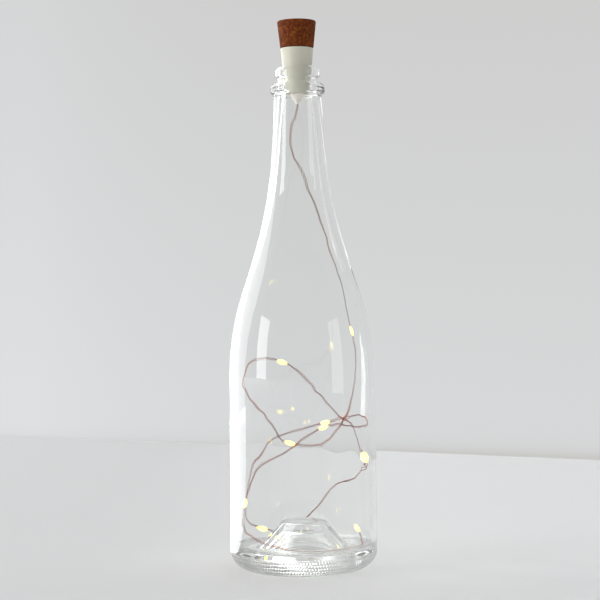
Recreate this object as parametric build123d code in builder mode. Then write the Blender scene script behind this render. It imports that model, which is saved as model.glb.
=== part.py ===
"""Cork bottle light: a clear sparkling-wine bottle closed by a rechargeable
cork-topped stopper, with a string of tiny lights on copper wire inside it.

Millimetres, +Z up. The origin is the centre of the bottle's footprint.
"""

from build123d import *
import math
import os

# Bottle, outside
bottle_height = 299.5
body_radius = 44.0
heel_radius = 12.0
shoulder_slope = 18.85  # degrees from upright
shoulder_blend = 156.0
neck_radius = 17.1  # where the shoulder's slope and the neck would meet
neck_length = 63.9  # from there up to the collar
neck_taper = 2.42  # degrees from upright
neck_blend = 270.0

# Bottle, the collar and the lip around its mouth
collar_drop = 16.7
collar_radius = 16.3
collar_thickness = 5.9
collar_rise = 1.2
collar_edge = 1.8
collar_round = 3.0
groove_radius = 12.0
groove_height = 2.6
groove_slope = 0.9
groove_round = 0.5
lip_radius = 13.5
lip_round = 3.4
lip_edge = 1.2
mouth_radius = 8.9
mouth_round = 1.1
mouth_depth = 11.7

# Bottle, inside
glass_wall = 3.2
inner_neck_drop = 6.8
inner_neck_blend = 220.0
bore_blend = 30.0
floor_height = 12.5
floor_round = 5.0

# Bottle, the punt that is pushed up under it
foot_width = 4.0
punt_height = 20.4
punt_top_radius = 9.6
punt_round = 5.0
punt_edge = 2.0
punt_glass = 8.1
punt_side_glass = 3.4
punt_foot_gap = 3.6

# Stopper, outside
plug_above = 11.1
plug_length = 27.0
plug_taper = 5.5
plug_gap = 0.1
plug_edge = 0.4
plug_wall = 1.2
deck_thickness = 1.4
seam_height = 9.0
lap_height = 3.0
lap_wall = 0.8
lap_gap = 0.05
nose_wall = 1.15
nose_floor = 1.2

# Gland that the wire leaves by
gland_length = 6.0
gland_radius = 4.2
gland_rim = 0.6
gland_tip_radius = 1.0
gland_neck_radius = 2.0
gland_flange_radius = 2.8
gland_flange_thickness = 0.4
gland_neck_gap = 0.05

# Circuit board
board_thickness = 1.0
board_gap = 0.28
board_ledge = 0.5
deck_room = 5.0
part_clearance = 0.05

# Plug that charges the light
usb_width = 12.0
usb_thickness = 4.5
usb_reach = 12.0
usb_wall = 0.3
usb_slot_gap = 0.2
usb_window_width = 2.5
usb_window_height = 2.0
usb_window_pitch = 5.6
usb_window_from_tip = 6.2
tongue_thickness = 1.84
tongue_gap = 0.1
tongue_set_back = 1.0
contact_width = 1.0
contact_thickness = 0.2
contact_pitches = (-3.5, -1.0, 1.0, 3.5)
contact_set_back = 0.5
contact_short = 1.0

# Slide switch
switch_length = 6.0
switch_width = 2.8
switch_height = 4.0
switch_wall = 0.45
switch_floor = 1.0
switch_lid = 0.4
switch_offset = 4.6
knob_travel = 2.0
knob_length = 1.2
knob_width = 1.1
knob_rise = 1.0
knob_foot_length = 2.4
knob_foot_width = 1.5
knob_foot_height = 1.9
knob_foot_gap = 0.4
knob_slot_gap = 0.3
knob_ridge = 0.2

# Charge light and its light pipe
lamp_length = 1.6
lamp_width = 0.8
lamp_height = 0.7
lamp_offset = 5.0
pipe_radius = 1.0
pipe_gap = 0.05
pipe_lift = 0.3
pipe_flange_radius = 1.5
pipe_flange_thickness = 0.6

# Chips on the board
chip_length = 2.6
chip_width = 2.0
chip_height = 1.0
chip_edge = 0.15
chip_x = 3.4
chip_y = 3.9
small_part_length = 1.6
small_part_width = 0.8
small_part_height = 0.6
small_part_column = 3.4
small_part_row = 3.4
small_part_pitch = 1.4

# Lithium cell and what joins it to the board
rib_height = 1.0
rib_width = 0.8
rib_length = 5.0
rib_gap = 0.3
tab_thickness = 0.2
tab_width = 1.6
tab_overhang = 2.6
sleeve_thickness = 0.15
sleeve_gap = 0.05
sleeve_set_back = 0.1
lead_space = 0.75
cell_edge = 0.5
cell_groove_depth = 0.4
cell_groove_height = 1.2
cell_groove_drop = 2.4
cell_pip_radius = 1.5
cell_pip_height = 0.3
pad_thickness = 1.2
pad_radius = 4.2
lead_radius = 0.19
lead_bend = 0.5
lead_gap = 0.02
top_lead_y = -4.62

# Cork cap and the liner glued into it
cap_gap = 0.3
cork_height = 15.9
cork_bottom_radius = 9.95
cork_top_radius = 11.7
cork_bottom_edge = 0.5
cork_top_edge = 0.8
cork_side_wall = 1.9
glue_gap = 0.05
liner_top = 0.8
socket_gap = 0.25
socket_headroom = 0.4
liner_set_back = 1.4

# String of lights
wire_radius = 0.4
wire_gap = 0.1
bead_length = 5.2
bead_radius = 1.3
bead_end_radius = 0.85
bead_bore_gap = 0.32
bead_end_inset = 2.1
led_length = 0.9
led_width = 0.5
led_thickness = 0.3
led_gap = 0.05

# Cuts run this far past the faces that they open
overrun = 1.0

# The wire's route, from the gland to its last light. Every number is a
# distance in millimetres, chosen by hand to follow the loops in the bottle.
# A light sits halfway between the end of one stretch and the start of the next,
# and one more at the wire's end.
wire_stretches = [
    [
        # Out of the gland and down the neck
        (0.0, 0.0, 277.6),
        (0.0, 0.0, 273.4),
        (-4.8, -1.0, 262.0),
        (-4.9, -2.0, 250.5),
        (1.7, -1.0, 238.5),
        (5.2, 3.0, 226.5),
        # Along the right shoulder
        (12.6, 4.0, 208.5),
        (20.0, 8.0, 188.0),
        (26.9, 10.0, 166.0),
        (28.9, 12.0, 147.5),
    ],
    [
        (33.3, 13.0, 134.0),
        (35.2, 12.0, 119.0),
        # Forwards and across the front
        (28.7, 3.0, 102.5),
        (26.6, -5.0, 92.5),
        (21.6, -14.0, 83.0),
        (10.6, -23.0, 75.0),
        (-1.4, -28.0, 75.5),
    ],
    [
        (-12.9, -29.0, 79.0),
        (-15.4, -27.0, 87.0),
        # Up the left wall and over
        (-25.9, -20.0, 97.0),
        (-36.3, -4.0, 110.0),
        (-33.2, 8.0, 122.5),
        (-21.7, 14.0, 126.0),
    ],
    [
        # Down across the back to the right wall
        (-0.8, 17.0, 118.5),
        (12.2, 13.0, 99.5),
        (27.1, 8.0, 86.5),
        (32.6, 3.0, 78.0),
        (35.6, -0.7, 71.7),
    ],
    [
        (39.1, -3.1, 59.6),
        # Down behind the punt to the left
        (30.5, 5.0, 52.5),
        (18.0, 14.0, 46.0),
        (8.4, 22.0, 34.0),
        (-4.1, 24.0, 20.5),
        (-18.0, 19.6, 17.0),
    ],
    [
        (-33.1, 8.0, 26.0),
        (-37.6, 0.0, 32.5),
        # Up the left wall and across the middle
        (-33.0, -4.0, 49.0),
        (-29.0, 2.0, 62.0),
        (-21.4, 8.0, 75.5),
        (-9.9, 10.0, 79.5),
        (4.6, 4.0, 84.0),
    ],
    [
        (22.6, -1.0, 88.5),
        # A small turn at the right wall and back across the front
        (31.6, 5.5, 90.5),
        (37.1, 8.5, 89.5),
        (39.6, 4.5, 87.5),
        (39.6, -2.5, 85.5),
        (35.1, -9.5, 84.5),
        (27.6, -18.0, 86.0),
        (18.1, -25.0, 88.0),
    ],
    [
        (6.1, -31.0, 84.5),
        (-4.9, -34.0, 76.0),
        (-15.5, -32.0, 69.5),
        (-25.5, -26.0, 64.5),
        # Down the left wall
        (-29.5, -18.0, 54.0),
        (-34.1, -14.0, 44.5),
    ],
    [
        (-35.6, -12.0, 37.0),
        (-36.1, -13.0, 25.5),
        # Along the floor at the front and up to the last light
        (-28.7, -21.0, 20.5),
        (-17.7, -29.0, 17.0),
        (-2.2, -35.0, 15.0),
        (14.8, -33.0, 13.8),
        (26.8, -24.0, 13.7),
        (34.8, -14.0, 14.5),
        (34.3, -10.0, 21.0),
        (29.9, -7.0, 25.5),
    ],
]

# The share of the shorter run that a bend of the wire takes on each side
bend_share = 0.45

# Heights and radii that follow from the sizes above
plug_top = bottle_height + plug_above
plug_bottom = plug_top - plug_length
seam = plug_bottom + seam_height
slope_ratio = math.tan(math.radians(plug_taper))


def plug_radius(height):
    """Outside radius of the stopper's cone at a height."""
    return mouth_radius - plug_gap + (height - bottle_height) * slope_ratio


deck_bottom = plug_top - deck_thickness
board_top = deck_bottom - deck_room
board_bottom = board_top - board_thickness
board_radius = plug_radius(board_bottom) - plug_wall - board_gap
deck_chamber_radius = board_radius - board_ledge
chamber_radius = plug_radius(plug_bottom) - nose_wall
chamber_bottom = plug_bottom + nose_floor
lap_radius = chamber_radius + lap_wall
cell_bottom = chamber_bottom + rib_height + tab_thickness
cell_top = board_bottom - pad_thickness - 2 * part_clearance - tab_thickness - cell_pip_height
cell_radius = chamber_radius - lead_space - sleeve_thickness - sleeve_gap
lead_circle = chamber_radius - lead_space / 2
usb_tip = plug_top + usb_reach
knob_x = knob_travel / 2
gland_tip = plug_bottom - gland_length
cap_bottom = plug_top + cap_gap
cap_top = cap_bottom + cork_height
liner_radius = cork_bottom_radius - cork_side_wall - glue_gap
socket_top = usb_tip + socket_headroom
liner_bottom = cap_bottom + liner_set_back
liner_height = socket_top + liner_top


def write(part, name):
    """Label a finished piece and write it as a file of its own."""
    part.label = name
    export_step(part, f"parts/{name}.step")


os.makedirs("parts", exist_ok=True)

# Glass bottle: one outline from the punt, up the outside, over the lip and
# down the inside, turned about the upright axis
shoulder_ratio = math.tan(math.radians(shoulder_slope))
taper_ratio = math.tan(math.radians(neck_taper))
collar_bottom = bottle_height - collar_drop
collar_top = collar_bottom + collar_rise + collar_thickness
collar_start_radius = neck_radius - neck_length * taper_ratio
neck_height = collar_bottom - neck_length
shoulder_height = neck_height - (body_radius - neck_radius) / shoulder_ratio
foot_inner_radius = body_radius - heel_radius - foot_width
inner_radius = body_radius - glass_wall
wall_shift = glass_wall / math.cos(math.radians(shoulder_slope)) - glass_wall
inner_shoulder_height = shoulder_height - wall_shift / shoulder_ratio
inner_neck_height = neck_height - inner_neck_drop
inner_neck_radius = inner_radius - (inner_neck_height - inner_shoulder_height) * shoulder_ratio
floor_edge_radius = foot_inner_radius - punt_foot_gap + punt_side_glass
with BuildPart() as bottle:
    with BuildSketch(Plane.XZ):
        with BuildLine():
            outline = FilletPolyline(
                (0, punt_height),
                (punt_top_radius, punt_height),
                (foot_inner_radius, 0),
                (body_radius, 0),
                (body_radius, shoulder_height),
                (neck_radius, neck_height),
                (collar_start_radius, collar_bottom),
                (collar_radius, collar_bottom + collar_rise),
                (collar_radius, collar_top - groove_slope),
                (groove_radius, collar_top),
                (groove_radius, collar_top + groove_height),
                (lip_radius, collar_top + groove_height + groove_slope),
                (lip_radius, bottle_height),
                (mouth_radius, bottle_height),
                (mouth_radius, bottle_height - mouth_depth),
                (inner_neck_radius, inner_neck_height),
                (inner_radius, inner_shoulder_height),
                (inner_radius, floor_height),
                (floor_edge_radius, floor_height),
                (punt_top_radius + punt_side_glass, punt_height + punt_glass),
                (0, punt_height + punt_glass),
                radius=[
                    punt_round,
                    punt_edge,
                    heel_radius,
                    shoulder_blend,
                    neck_blend,
                    groove_round,
                    collar_edge,
                    collar_round,
                    groove_round,
                    groove_round,
                    lip_edge,
                    lip_round,
                    mouth_round,
                    bore_blend,
                    inner_neck_blend,
                    shoulder_blend - glass_wall,
                    floor_round,
                    punt_edge,
                    punt_round,
                ],
            )
            Line(outline @ 1, outline @ 0)
        make_face()
    revolve(axis=Axis.Z)
write(bottle.part, "bottle")

# White upper shell of the stopper, with the deck that the charging plug,
# the switch and the charge light come up through
with BuildPart() as plug_body:
    with BuildSketch(Plane.XZ):
        Polygon(
            (0, seam),
            (plug_radius(seam), seam),
            (plug_radius(plug_top), plug_top),
            (0, plug_top),
            align=None,
        )
    revolve(axis=Axis.Z)
    fillet(plug_body.edges().group_by(Axis.Z)[-1], plug_edge)
    with BuildSketch(Plane.XZ):
        Polygon(
            (0, seam - overrun),
            (lap_radius + lap_gap, seam - overrun),
            (lap_radius + lap_gap, seam + lap_height + lap_gap),
            (plug_radius(seam + lap_height) - plug_wall, seam + lap_height + lap_gap),
            (plug_radius(board_top) - plug_wall, board_top),
            (deck_chamber_radius, board_top),
            (deck_chamber_radius, deck_bottom),
            (0, deck_bottom),
            align=None,
        )
    revolve(axis=Axis.Z, mode=Mode.SUBTRACT)
    with BuildSketch(Plane.XY.offset(deck_bottom - overrun)):
        Rectangle(usb_width + 2 * usb_slot_gap, usb_thickness + 2 * usb_slot_gap)
        with Locations((0, -switch_offset)):
            Rectangle(knob_travel + knob_length + 2 * knob_slot_gap, knob_width + 2 * knob_slot_gap)
        with Locations((0, lamp_offset)):
            Circle(pipe_radius + pipe_gap)
    extrude(amount=deck_thickness + 2 * overrun, mode=Mode.SUBTRACT)
write(plug_body.part, "plug_body")

# White lower shell that goes down the bottle's neck and carries the cell
with BuildPart() as nose_cup:
    with BuildSketch(Plane.XZ):
        Polygon(
            (0, plug_bottom),
            (plug_radius(plug_bottom), plug_bottom),
            (plug_radius(seam), seam),
            (0, seam),
            align=None,
        )
    revolve(axis=Axis.Z)
    fillet(nose_cup.edges().group_by(Axis.Z)[0], plug_edge)
    with BuildSketch(Plane.XY.offset(seam)):
        Circle(lap_radius)
    extrude(amount=lap_height)
    with BuildSketch(Plane.XY.offset(chamber_bottom)):
        Circle(chamber_radius)
    extrude(amount=plug_length, mode=Mode.SUBTRACT)
    with BuildSketch(Plane.XY.offset(plug_bottom - overrun)):
        Circle(gland_neck_radius + gland_neck_gap)
    extrude(amount=nose_floor + 2 * overrun, mode=Mode.SUBTRACT)
    with BuildSketch(Plane.XY.offset(chamber_bottom)):
        with GridLocations(0, 2 * (gland_flange_radius + rib_gap) + rib_width, 1, 2):
            Rectangle(rib_length, rib_width)
    extrude(amount=rib_height)
write(nose_cup.part, "nose_cup")

# Soft gland plugged into the nose, which lets the wire out
with BuildPart() as wire_gland:
    with BuildSketch(Plane.XZ):
        Polygon(
            (0, gland_tip),
            (gland_tip_radius, gland_tip),
            (gland_radius, plug_bottom - gland_rim),
            (gland_radius, plug_bottom),
            (gland_neck_radius, plug_bottom),
            (gland_neck_radius, chamber_bottom),
            (gland_flange_radius, chamber_bottom),
            (gland_flange_radius, chamber_bottom + gland_flange_thickness),
            (0, chamber_bottom + gland_flange_thickness),
            align=None,
        )
    revolve(axis=Axis.Z)
    with BuildSketch(Plane.XY.offset(gland_tip - overrun)):
        Circle(wire_radius + wire_gap)
    extrude(amount=plug_length, mode=Mode.SUBTRACT)
write(wire_gland.part, "wire_gland")

# Round circuit board, pressed up against the ledge inside the upper shell
with BuildPart() as circuit_board:
    with BuildSketch(Plane.XY.offset(board_bottom)):
        Circle(board_radius)
    extrude(amount=board_thickness)
write(circuit_board.part, "circuit_board")

# Folded steel shell of the charging plug, with its two latch windows a side
with BuildPart() as usb_shell:
    with BuildSketch(Plane.XY.offset(board_top)):
        Rectangle(usb_width, usb_thickness)
    extrude(amount=usb_tip - board_top)
    fillet(usb_shell.edges().filter_by(Axis.Z), usb_wall)
    with BuildSketch(Plane.XY.offset(board_top)):
        Rectangle(usb_width - 2 * usb_wall, usb_thickness - 2 * usb_wall)
    extrude(amount=usb_tip - board_top, mode=Mode.SUBTRACT)
    with BuildSketch(Plane.XZ.offset(-usb_thickness)):
        with Locations((0, usb_tip - usb_window_from_tip)):
            with GridLocations(usb_window_pitch, 0, 2, 1):
                Rectangle(usb_window_width, usb_window_height)
    extrude(amount=2 * usb_thickness, mode=Mode.SUBTRACT)
write(usb_shell.part, "usb_shell")

# Plastic tongue inside the plug, along its front face
tongue_front = -usb_thickness / 2 + usb_wall + tongue_gap
tongue_back = tongue_front + tongue_thickness
with BuildPart() as usb_tongue:
    with BuildSketch(Plane.XY.offset(board_top)):
        with Locations((0, (tongue_front + tongue_back) / 2)):
            Rectangle(usb_width - 2 * usb_wall - 2 * tongue_gap, tongue_thickness)
    extrude(amount=usb_tip - tongue_set_back - board_top)
write(usb_tongue.part, "usb_tongue")

# Four gilt contacts lying on the tongue; the inner two are shorter
with BuildPart() as usb_contacts:
    for pitch in contact_pitches:
        shorter = contact_short if abs(pitch) < max(contact_pitches) else 0
        with BuildSketch(Plane.XY.offset(board_top)):
            with Locations((pitch, tongue_back + contact_thickness / 2)):
                Rectangle(contact_width, contact_thickness)
        extrude(amount=usb_tip - tongue_set_back - contact_set_back - shorter - board_top)
write(usb_contacts.part, "usb_contacts")

# Case of the slide switch, soldered to the board in front of the plug
with BuildPart() as slide_switch:
    with BuildSketch(Plane.XY.offset(board_top)):
        with Locations((0, -switch_offset)):
            Rectangle(switch_length, switch_width)
    extrude(amount=switch_height)
    with BuildSketch(Plane.XY.offset(board_top + switch_floor)):
        with Locations((0, -switch_offset)):
            Rectangle(switch_length - 2 * switch_wall, switch_width - 2 * switch_wall)
    extrude(amount=switch_height - switch_floor - switch_lid, mode=Mode.SUBTRACT)
    with BuildSketch(Plane.XY.offset(board_top + switch_floor)):
        with Locations((0, -switch_offset)):
            Rectangle(knob_travel + knob_length + knob_slot_gap, knob_width + knob_slot_gap)
    extrude(amount=switch_height, mode=Mode.SUBTRACT)
write(slide_switch.part, "slide_switch")

# Switch knob, at rest in its ON place, with three ridges for a fingernail
knob_foot_bottom = board_top + switch_floor + knob_foot_gap
with BuildPart() as switch_knob:
    with BuildSketch(Plane.XY.offset(knob_foot_bottom)):
        with Locations((knob_x, -switch_offset)):
            Rectangle(knob_foot_length, knob_foot_width)
    extrude(amount=knob_foot_height)
    with BuildSketch(Plane.XY.offset(knob_foot_bottom)):
        with Locations((knob_x, -switch_offset)):
            Rectangle(knob_length, knob_width)
    extrude(amount=plug_top + knob_rise - knob_foot_bottom)
    with BuildSketch(Plane.XY.offset(plug_top + knob_rise - knob_ridge)):
        with Locations((knob_x, -switch_offset)):
            with GridLocations(knob_length / 2, 0, 2, 1):
                Rectangle(knob_ridge, knob_width + overrun)
    extrude(amount=overrun, mode=Mode.SUBTRACT)
write(switch_knob.part, "switch_knob")

# Small lamp on the board that glows while the cell charges
with BuildPart() as charge_light:
    with BuildSketch(Plane.XY.offset(board_top)):
        with Locations((0, lamp_offset)):
            Rectangle(lamp_length, lamp_width)
    extrude(amount=lamp_height)
write(charge_light.part, "charge_light")

# Clear pipe that brings that lamp's light up to the deck
with BuildPart() as light_pipe:
    with BuildSketch(Plane.XY.offset(board_top + lamp_height + pipe_lift)):
        with Locations((0, lamp_offset)):
            Circle(pipe_radius)
    extrude(amount=plug_top - board_top - lamp_height - pipe_lift)
    with BuildSketch(Plane.XY.offset(deck_bottom - pipe_flange_thickness)):
        with Locations((0, lamp_offset)):
            Circle(pipe_flange_radius)
    extrude(amount=pipe_flange_thickness)
write(light_pipe.part, "light_pipe")

# Chip that charges the cell and drives the lights
with BuildPart() as charge_chip:
    with BuildSketch(Plane.XY.offset(board_top)):
        with Locations((chip_x, chip_y)):
            Rectangle(chip_length, chip_width)
    extrude(amount=chip_height)
    chamfer(charge_chip.edges().group_by(Axis.Z)[-1], chip_edge)
write(charge_chip.part, "charge_chip")

# Resistors and capacitors beside it
with BuildPart() as board_parts:
    with BuildSketch(Plane.XY.offset(board_top)):
        with Locations((-small_part_column, small_part_row + small_part_pitch / 2)):
            with GridLocations(0, small_part_pitch, 1, 2):
                Rectangle(small_part_length, small_part_width)
        with Locations((small_part_column + lamp_length, -small_part_row)):
            Rectangle(small_part_width, small_part_length)
        with Locations((-small_part_column - lamp_length, -small_part_row)):
            Rectangle(small_part_width, small_part_length)
    extrude(amount=small_part_height)
write(board_parts.part, "board_parts")

# Lithium cell: a can with a rolled groove and a raised contact
with BuildPart() as battery_cell:
    with BuildSketch(Plane.XY.offset(cell_bottom)):
        Circle(cell_radius)
    extrude(amount=cell_top - cell_bottom)
    fillet(battery_cell.edges().group_by(Axis.Z)[0], cell_edge)
    fillet(battery_cell.edges().group_by(Axis.Z)[-1], cell_edge)
    with BuildSketch(Plane.XZ):
        with Locations((cell_radius, cell_top - cell_groove_drop)):
            Rectangle(2 * cell_groove_depth, cell_groove_height)
    revolve(axis=Axis.Z, mode=Mode.SUBTRACT)
    with BuildSketch(Plane.XY.offset(cell_top)):
        Circle(cell_pip_radius)
    extrude(amount=cell_pip_height)
write(battery_cell.part, "battery_cell")

# Shrunk sleeve that insulates the cell's side
with BuildPart() as cell_sleeve:
    with BuildSketch(Plane.XY.offset(cell_bottom + sleeve_set_back)):
        Circle(cell_radius + sleeve_gap + sleeve_thickness)
        Circle(cell_radius + sleeve_gap, mode=Mode.SUBTRACT)
    extrude(amount=cell_top - cell_bottom - 2 * sleeve_set_back)
write(cell_sleeve.part, "cell_sleeve")

# Nickel strips welded to the cell's two ends
bottom_tab_end = lead_circle + lead_radius + lead_gap
top_tab_bottom = cell_top + cell_pip_height
with BuildPart() as cell_tabs:
    with BuildSketch(Plane.XY.offset(cell_bottom - tab_thickness)):
        with Locations((0, (bottom_tab_end - tab_overhang) / 2)):
            Rectangle(tab_width, bottom_tab_end + tab_overhang)
    extrude(amount=tab_thickness)
    with BuildSketch(Plane.XY.offset(top_tab_bottom)):
        with Locations((0, (top_lead_y - lead_radius - lead_gap + tab_overhang) / 2)):
            Rectangle(tab_width, tab_overhang - top_lead_y + lead_radius + lead_gap)
    extrude(amount=tab_thickness)
write(cell_tabs.part, "cell_tabs")

# Leads from the cell's tabs up to the board
with BuildPart() as cell_leads:
    with BuildSketch(Plane.XY.offset(cell_bottom)):
        with Locations((0, lead_circle)):
            Circle(lead_radius)
    extrude(amount=board_bottom - cell_bottom)
    with BuildSketch(Plane.XY.offset(top_tab_bottom + tab_thickness)):
        with Locations((0, top_lead_y)):
            Circle(lead_radius)
    extrude(amount=board_bottom - top_tab_bottom - tab_thickness)
write(cell_leads.part, "cell_leads")

# Foam pad that presses the cell down and the board up
with BuildPart() as cell_pad:
    with BuildSketch(Plane.XY.offset(top_tab_bottom + tab_thickness + part_clearance)):
        Circle(pad_radius)
    extrude(amount=pad_thickness)
write(cell_pad.part, "cell_pad")

# The string's two leads, from the gland round the cell and up to the board
lead_turn_height = chamber_bottom + rib_height - lead_radius - part_clearance
with BuildPart() as string_leads:
    for side in (-1, 1):
        start_x = side * (lead_radius + lead_gap)
        with BuildLine():
            FilletPolyline(
                (start_x, 0, gland_tip),
                (start_x, 0, lead_turn_height),
                (side * lead_circle, 0, lead_turn_height),
                (side * lead_circle, 0, board_bottom),
                radius=lead_bend,
            )
        with BuildSketch(Plane.XY.offset(gland_tip)):
            with Locations((start_x, 0)):
                Circle(lead_radius)
        sweep()
write(string_leads.part, "string_leads")

# Tapered cork, bored from below for its liner
with BuildPart() as cork_cap:
    with BuildSketch(Plane.XZ):
        Polygon(
            (0, cap_bottom),
            (cork_bottom_radius, cap_bottom),
            (cork_top_radius, cap_top),
            (0, cap_top),
            align=None,
        )
    revolve(axis=Axis.Z)
    fillet(cork_cap.edges().group_by(Axis.Z)[0], cork_bottom_edge)
    fillet(cork_cap.edges().group_by(Axis.Z)[-1], cork_top_edge)
    with BuildSketch(Plane.XY.offset(cap_bottom)):
        Circle(liner_radius + glue_gap)
    extrude(amount=liner_height + glue_gap - cap_bottom, mode=Mode.SUBTRACT)
write(cork_cap.part, "cork_cap")

# Plastic liner with the socket that slips over the charging plug. It is set
# back in the cork, to clear the switch's knob on the deck below
with BuildPart() as cap_liner:
    with BuildSketch(Plane.XY.offset(liner_bottom)):
        Circle(liner_radius)
    extrude(amount=liner_height - liner_bottom)
    with BuildSketch(Plane.XY.offset(liner_bottom)):
        Rectangle(usb_width + 2 * socket_gap, usb_thickness + 2 * socket_gap)
    extrude(amount=socket_top - liner_bottom, mode=Mode.SUBTRACT)
write(cap_liner.part, "cap_liner")

# Copper wire of the string, as one tube over its two twisted strands
points = [Vector(*point) for stretch in wire_stretches for point in stretch]
points[0] = Vector(0, 0, gland_tip)
runs = [end - start for start, end in zip(points, points[1:])]
bends = []
for before, after in zip(runs, runs[1:]):
    half_turn = math.radians(before.get_angle(after) / 2)
    bends.append(bend_share * min(before.length, after.length) / math.tan(half_turn))
with BuildPart() as light_string:
    with BuildLine() as wire_path:
        FilletPolyline(*points, radius=bends)
    with BuildSketch(Plane(origin=points[0], z_dir=runs[0])):
        Circle(wire_radius)
    sweep()
write(light_string.part, "light_string")

# Resin drops along the wire, each with a pocket for its light
light_places = []
for stretch, next_stretch in zip(wire_stretches, wire_stretches[1:]):
    before_light, after_light = Vector(*stretch[-1]), Vector(*next_stretch[0])
    middle = (before_light + after_light) / 2
    light_places.append(Plane(origin=middle, z_dir=after_light - before_light).location)
last_middle = points[-1] - runs[-1].normalized() * bead_end_inset
light_places.append(Plane(origin=last_middle, z_dir=runs[-1]).location)
bead_bore = wire_radius + bead_bore_gap
led_inside = wire_radius + led_gap
with BuildPart() as bead:
    with BuildSketch(Plane.XZ):
        with BuildLine():
            Polyline(
                (bead_end_radius, bead_length / 2),
                (bead_bore, bead_length / 2),
                (bead_bore, -bead_length / 2),
                (bead_end_radius, -bead_length / 2),
            )
            ThreePointArc(
                (bead_end_radius, -bead_length / 2),
                (bead_radius, 0),
                (bead_end_radius, bead_length / 2),
            )
        make_face()
    revolve(axis=Axis.Z)
    with Locations(((led_inside + led_thickness + led_gap) / 2, 0, 0)):
        Box(
            led_inside + led_thickness + led_gap,
            led_width + 2 * led_gap,
            led_length + 2 * led_gap,
            mode=Mode.SUBTRACT,
        )
for number, place in enumerate(light_places, start=1):
    with BuildPart() as led_bead:
        with Locations(place):
            add(bead.part)
    write(led_bead.part, f"led_bead_{number}")

# The lights themselves, one against the wire in each drop
with BuildPart() as led_chips:
    with Locations(*light_places):
        with Locations((led_inside + led_thickness / 2, 0, 0)):
            Box(led_thickness, led_width, led_length)
write(led_chips.part, "led_chips")

# The wire's bends and its volume, printed to be read after each build
wire_length = wire_path.wires()[0].length
section = math.pi * wire_radius**2
print("wire length", round(wire_length, 1), "smallest bend", round(min(bends), 2))
print("bends", [round(bend, 1) for bend in bends])
print("wire volume over section times length", round(light_string.part.volume / section / wire_length, 4))
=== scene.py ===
"""Cork bottle light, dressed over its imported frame.

A clear glass bottle turned from one rounded outline, a cork-topped stopper in
its mouth, and a string of small warm lights on twisted copper wire that lies
in loose loops inside. Metres, +Z up. The origin is the centre of the foot.
"""

import logging
import math
from collections.abc import Sequence
from dataclasses import dataclass
from enum import Enum

import bpy
import numpy as np
from mathutils import Matrix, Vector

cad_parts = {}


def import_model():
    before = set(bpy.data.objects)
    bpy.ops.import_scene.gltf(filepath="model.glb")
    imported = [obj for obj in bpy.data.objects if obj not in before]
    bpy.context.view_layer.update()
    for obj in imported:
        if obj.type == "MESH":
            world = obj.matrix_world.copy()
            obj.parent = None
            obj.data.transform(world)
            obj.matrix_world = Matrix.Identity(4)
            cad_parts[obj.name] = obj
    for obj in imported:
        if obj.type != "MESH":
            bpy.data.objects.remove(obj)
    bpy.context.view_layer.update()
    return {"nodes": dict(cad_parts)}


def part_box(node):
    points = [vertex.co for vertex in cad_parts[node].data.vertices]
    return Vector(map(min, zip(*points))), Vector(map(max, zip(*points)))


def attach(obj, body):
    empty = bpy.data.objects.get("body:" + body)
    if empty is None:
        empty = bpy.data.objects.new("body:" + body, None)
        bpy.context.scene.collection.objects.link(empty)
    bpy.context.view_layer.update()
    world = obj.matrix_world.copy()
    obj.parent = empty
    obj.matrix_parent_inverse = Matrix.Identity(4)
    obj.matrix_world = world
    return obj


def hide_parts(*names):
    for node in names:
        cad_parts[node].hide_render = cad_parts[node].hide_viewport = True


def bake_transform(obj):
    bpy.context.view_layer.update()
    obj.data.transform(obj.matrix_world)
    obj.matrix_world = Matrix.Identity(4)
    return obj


LOG = logging.getLogger("bottle_light")

Colour = tuple[float, float, float, float]

WHITE: Colour = (1.0, 1.0, 1.0, 1.0)
WARM_LIGHT: Colour = (1.0, 0.80, 0.048, 1.0)

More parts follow.
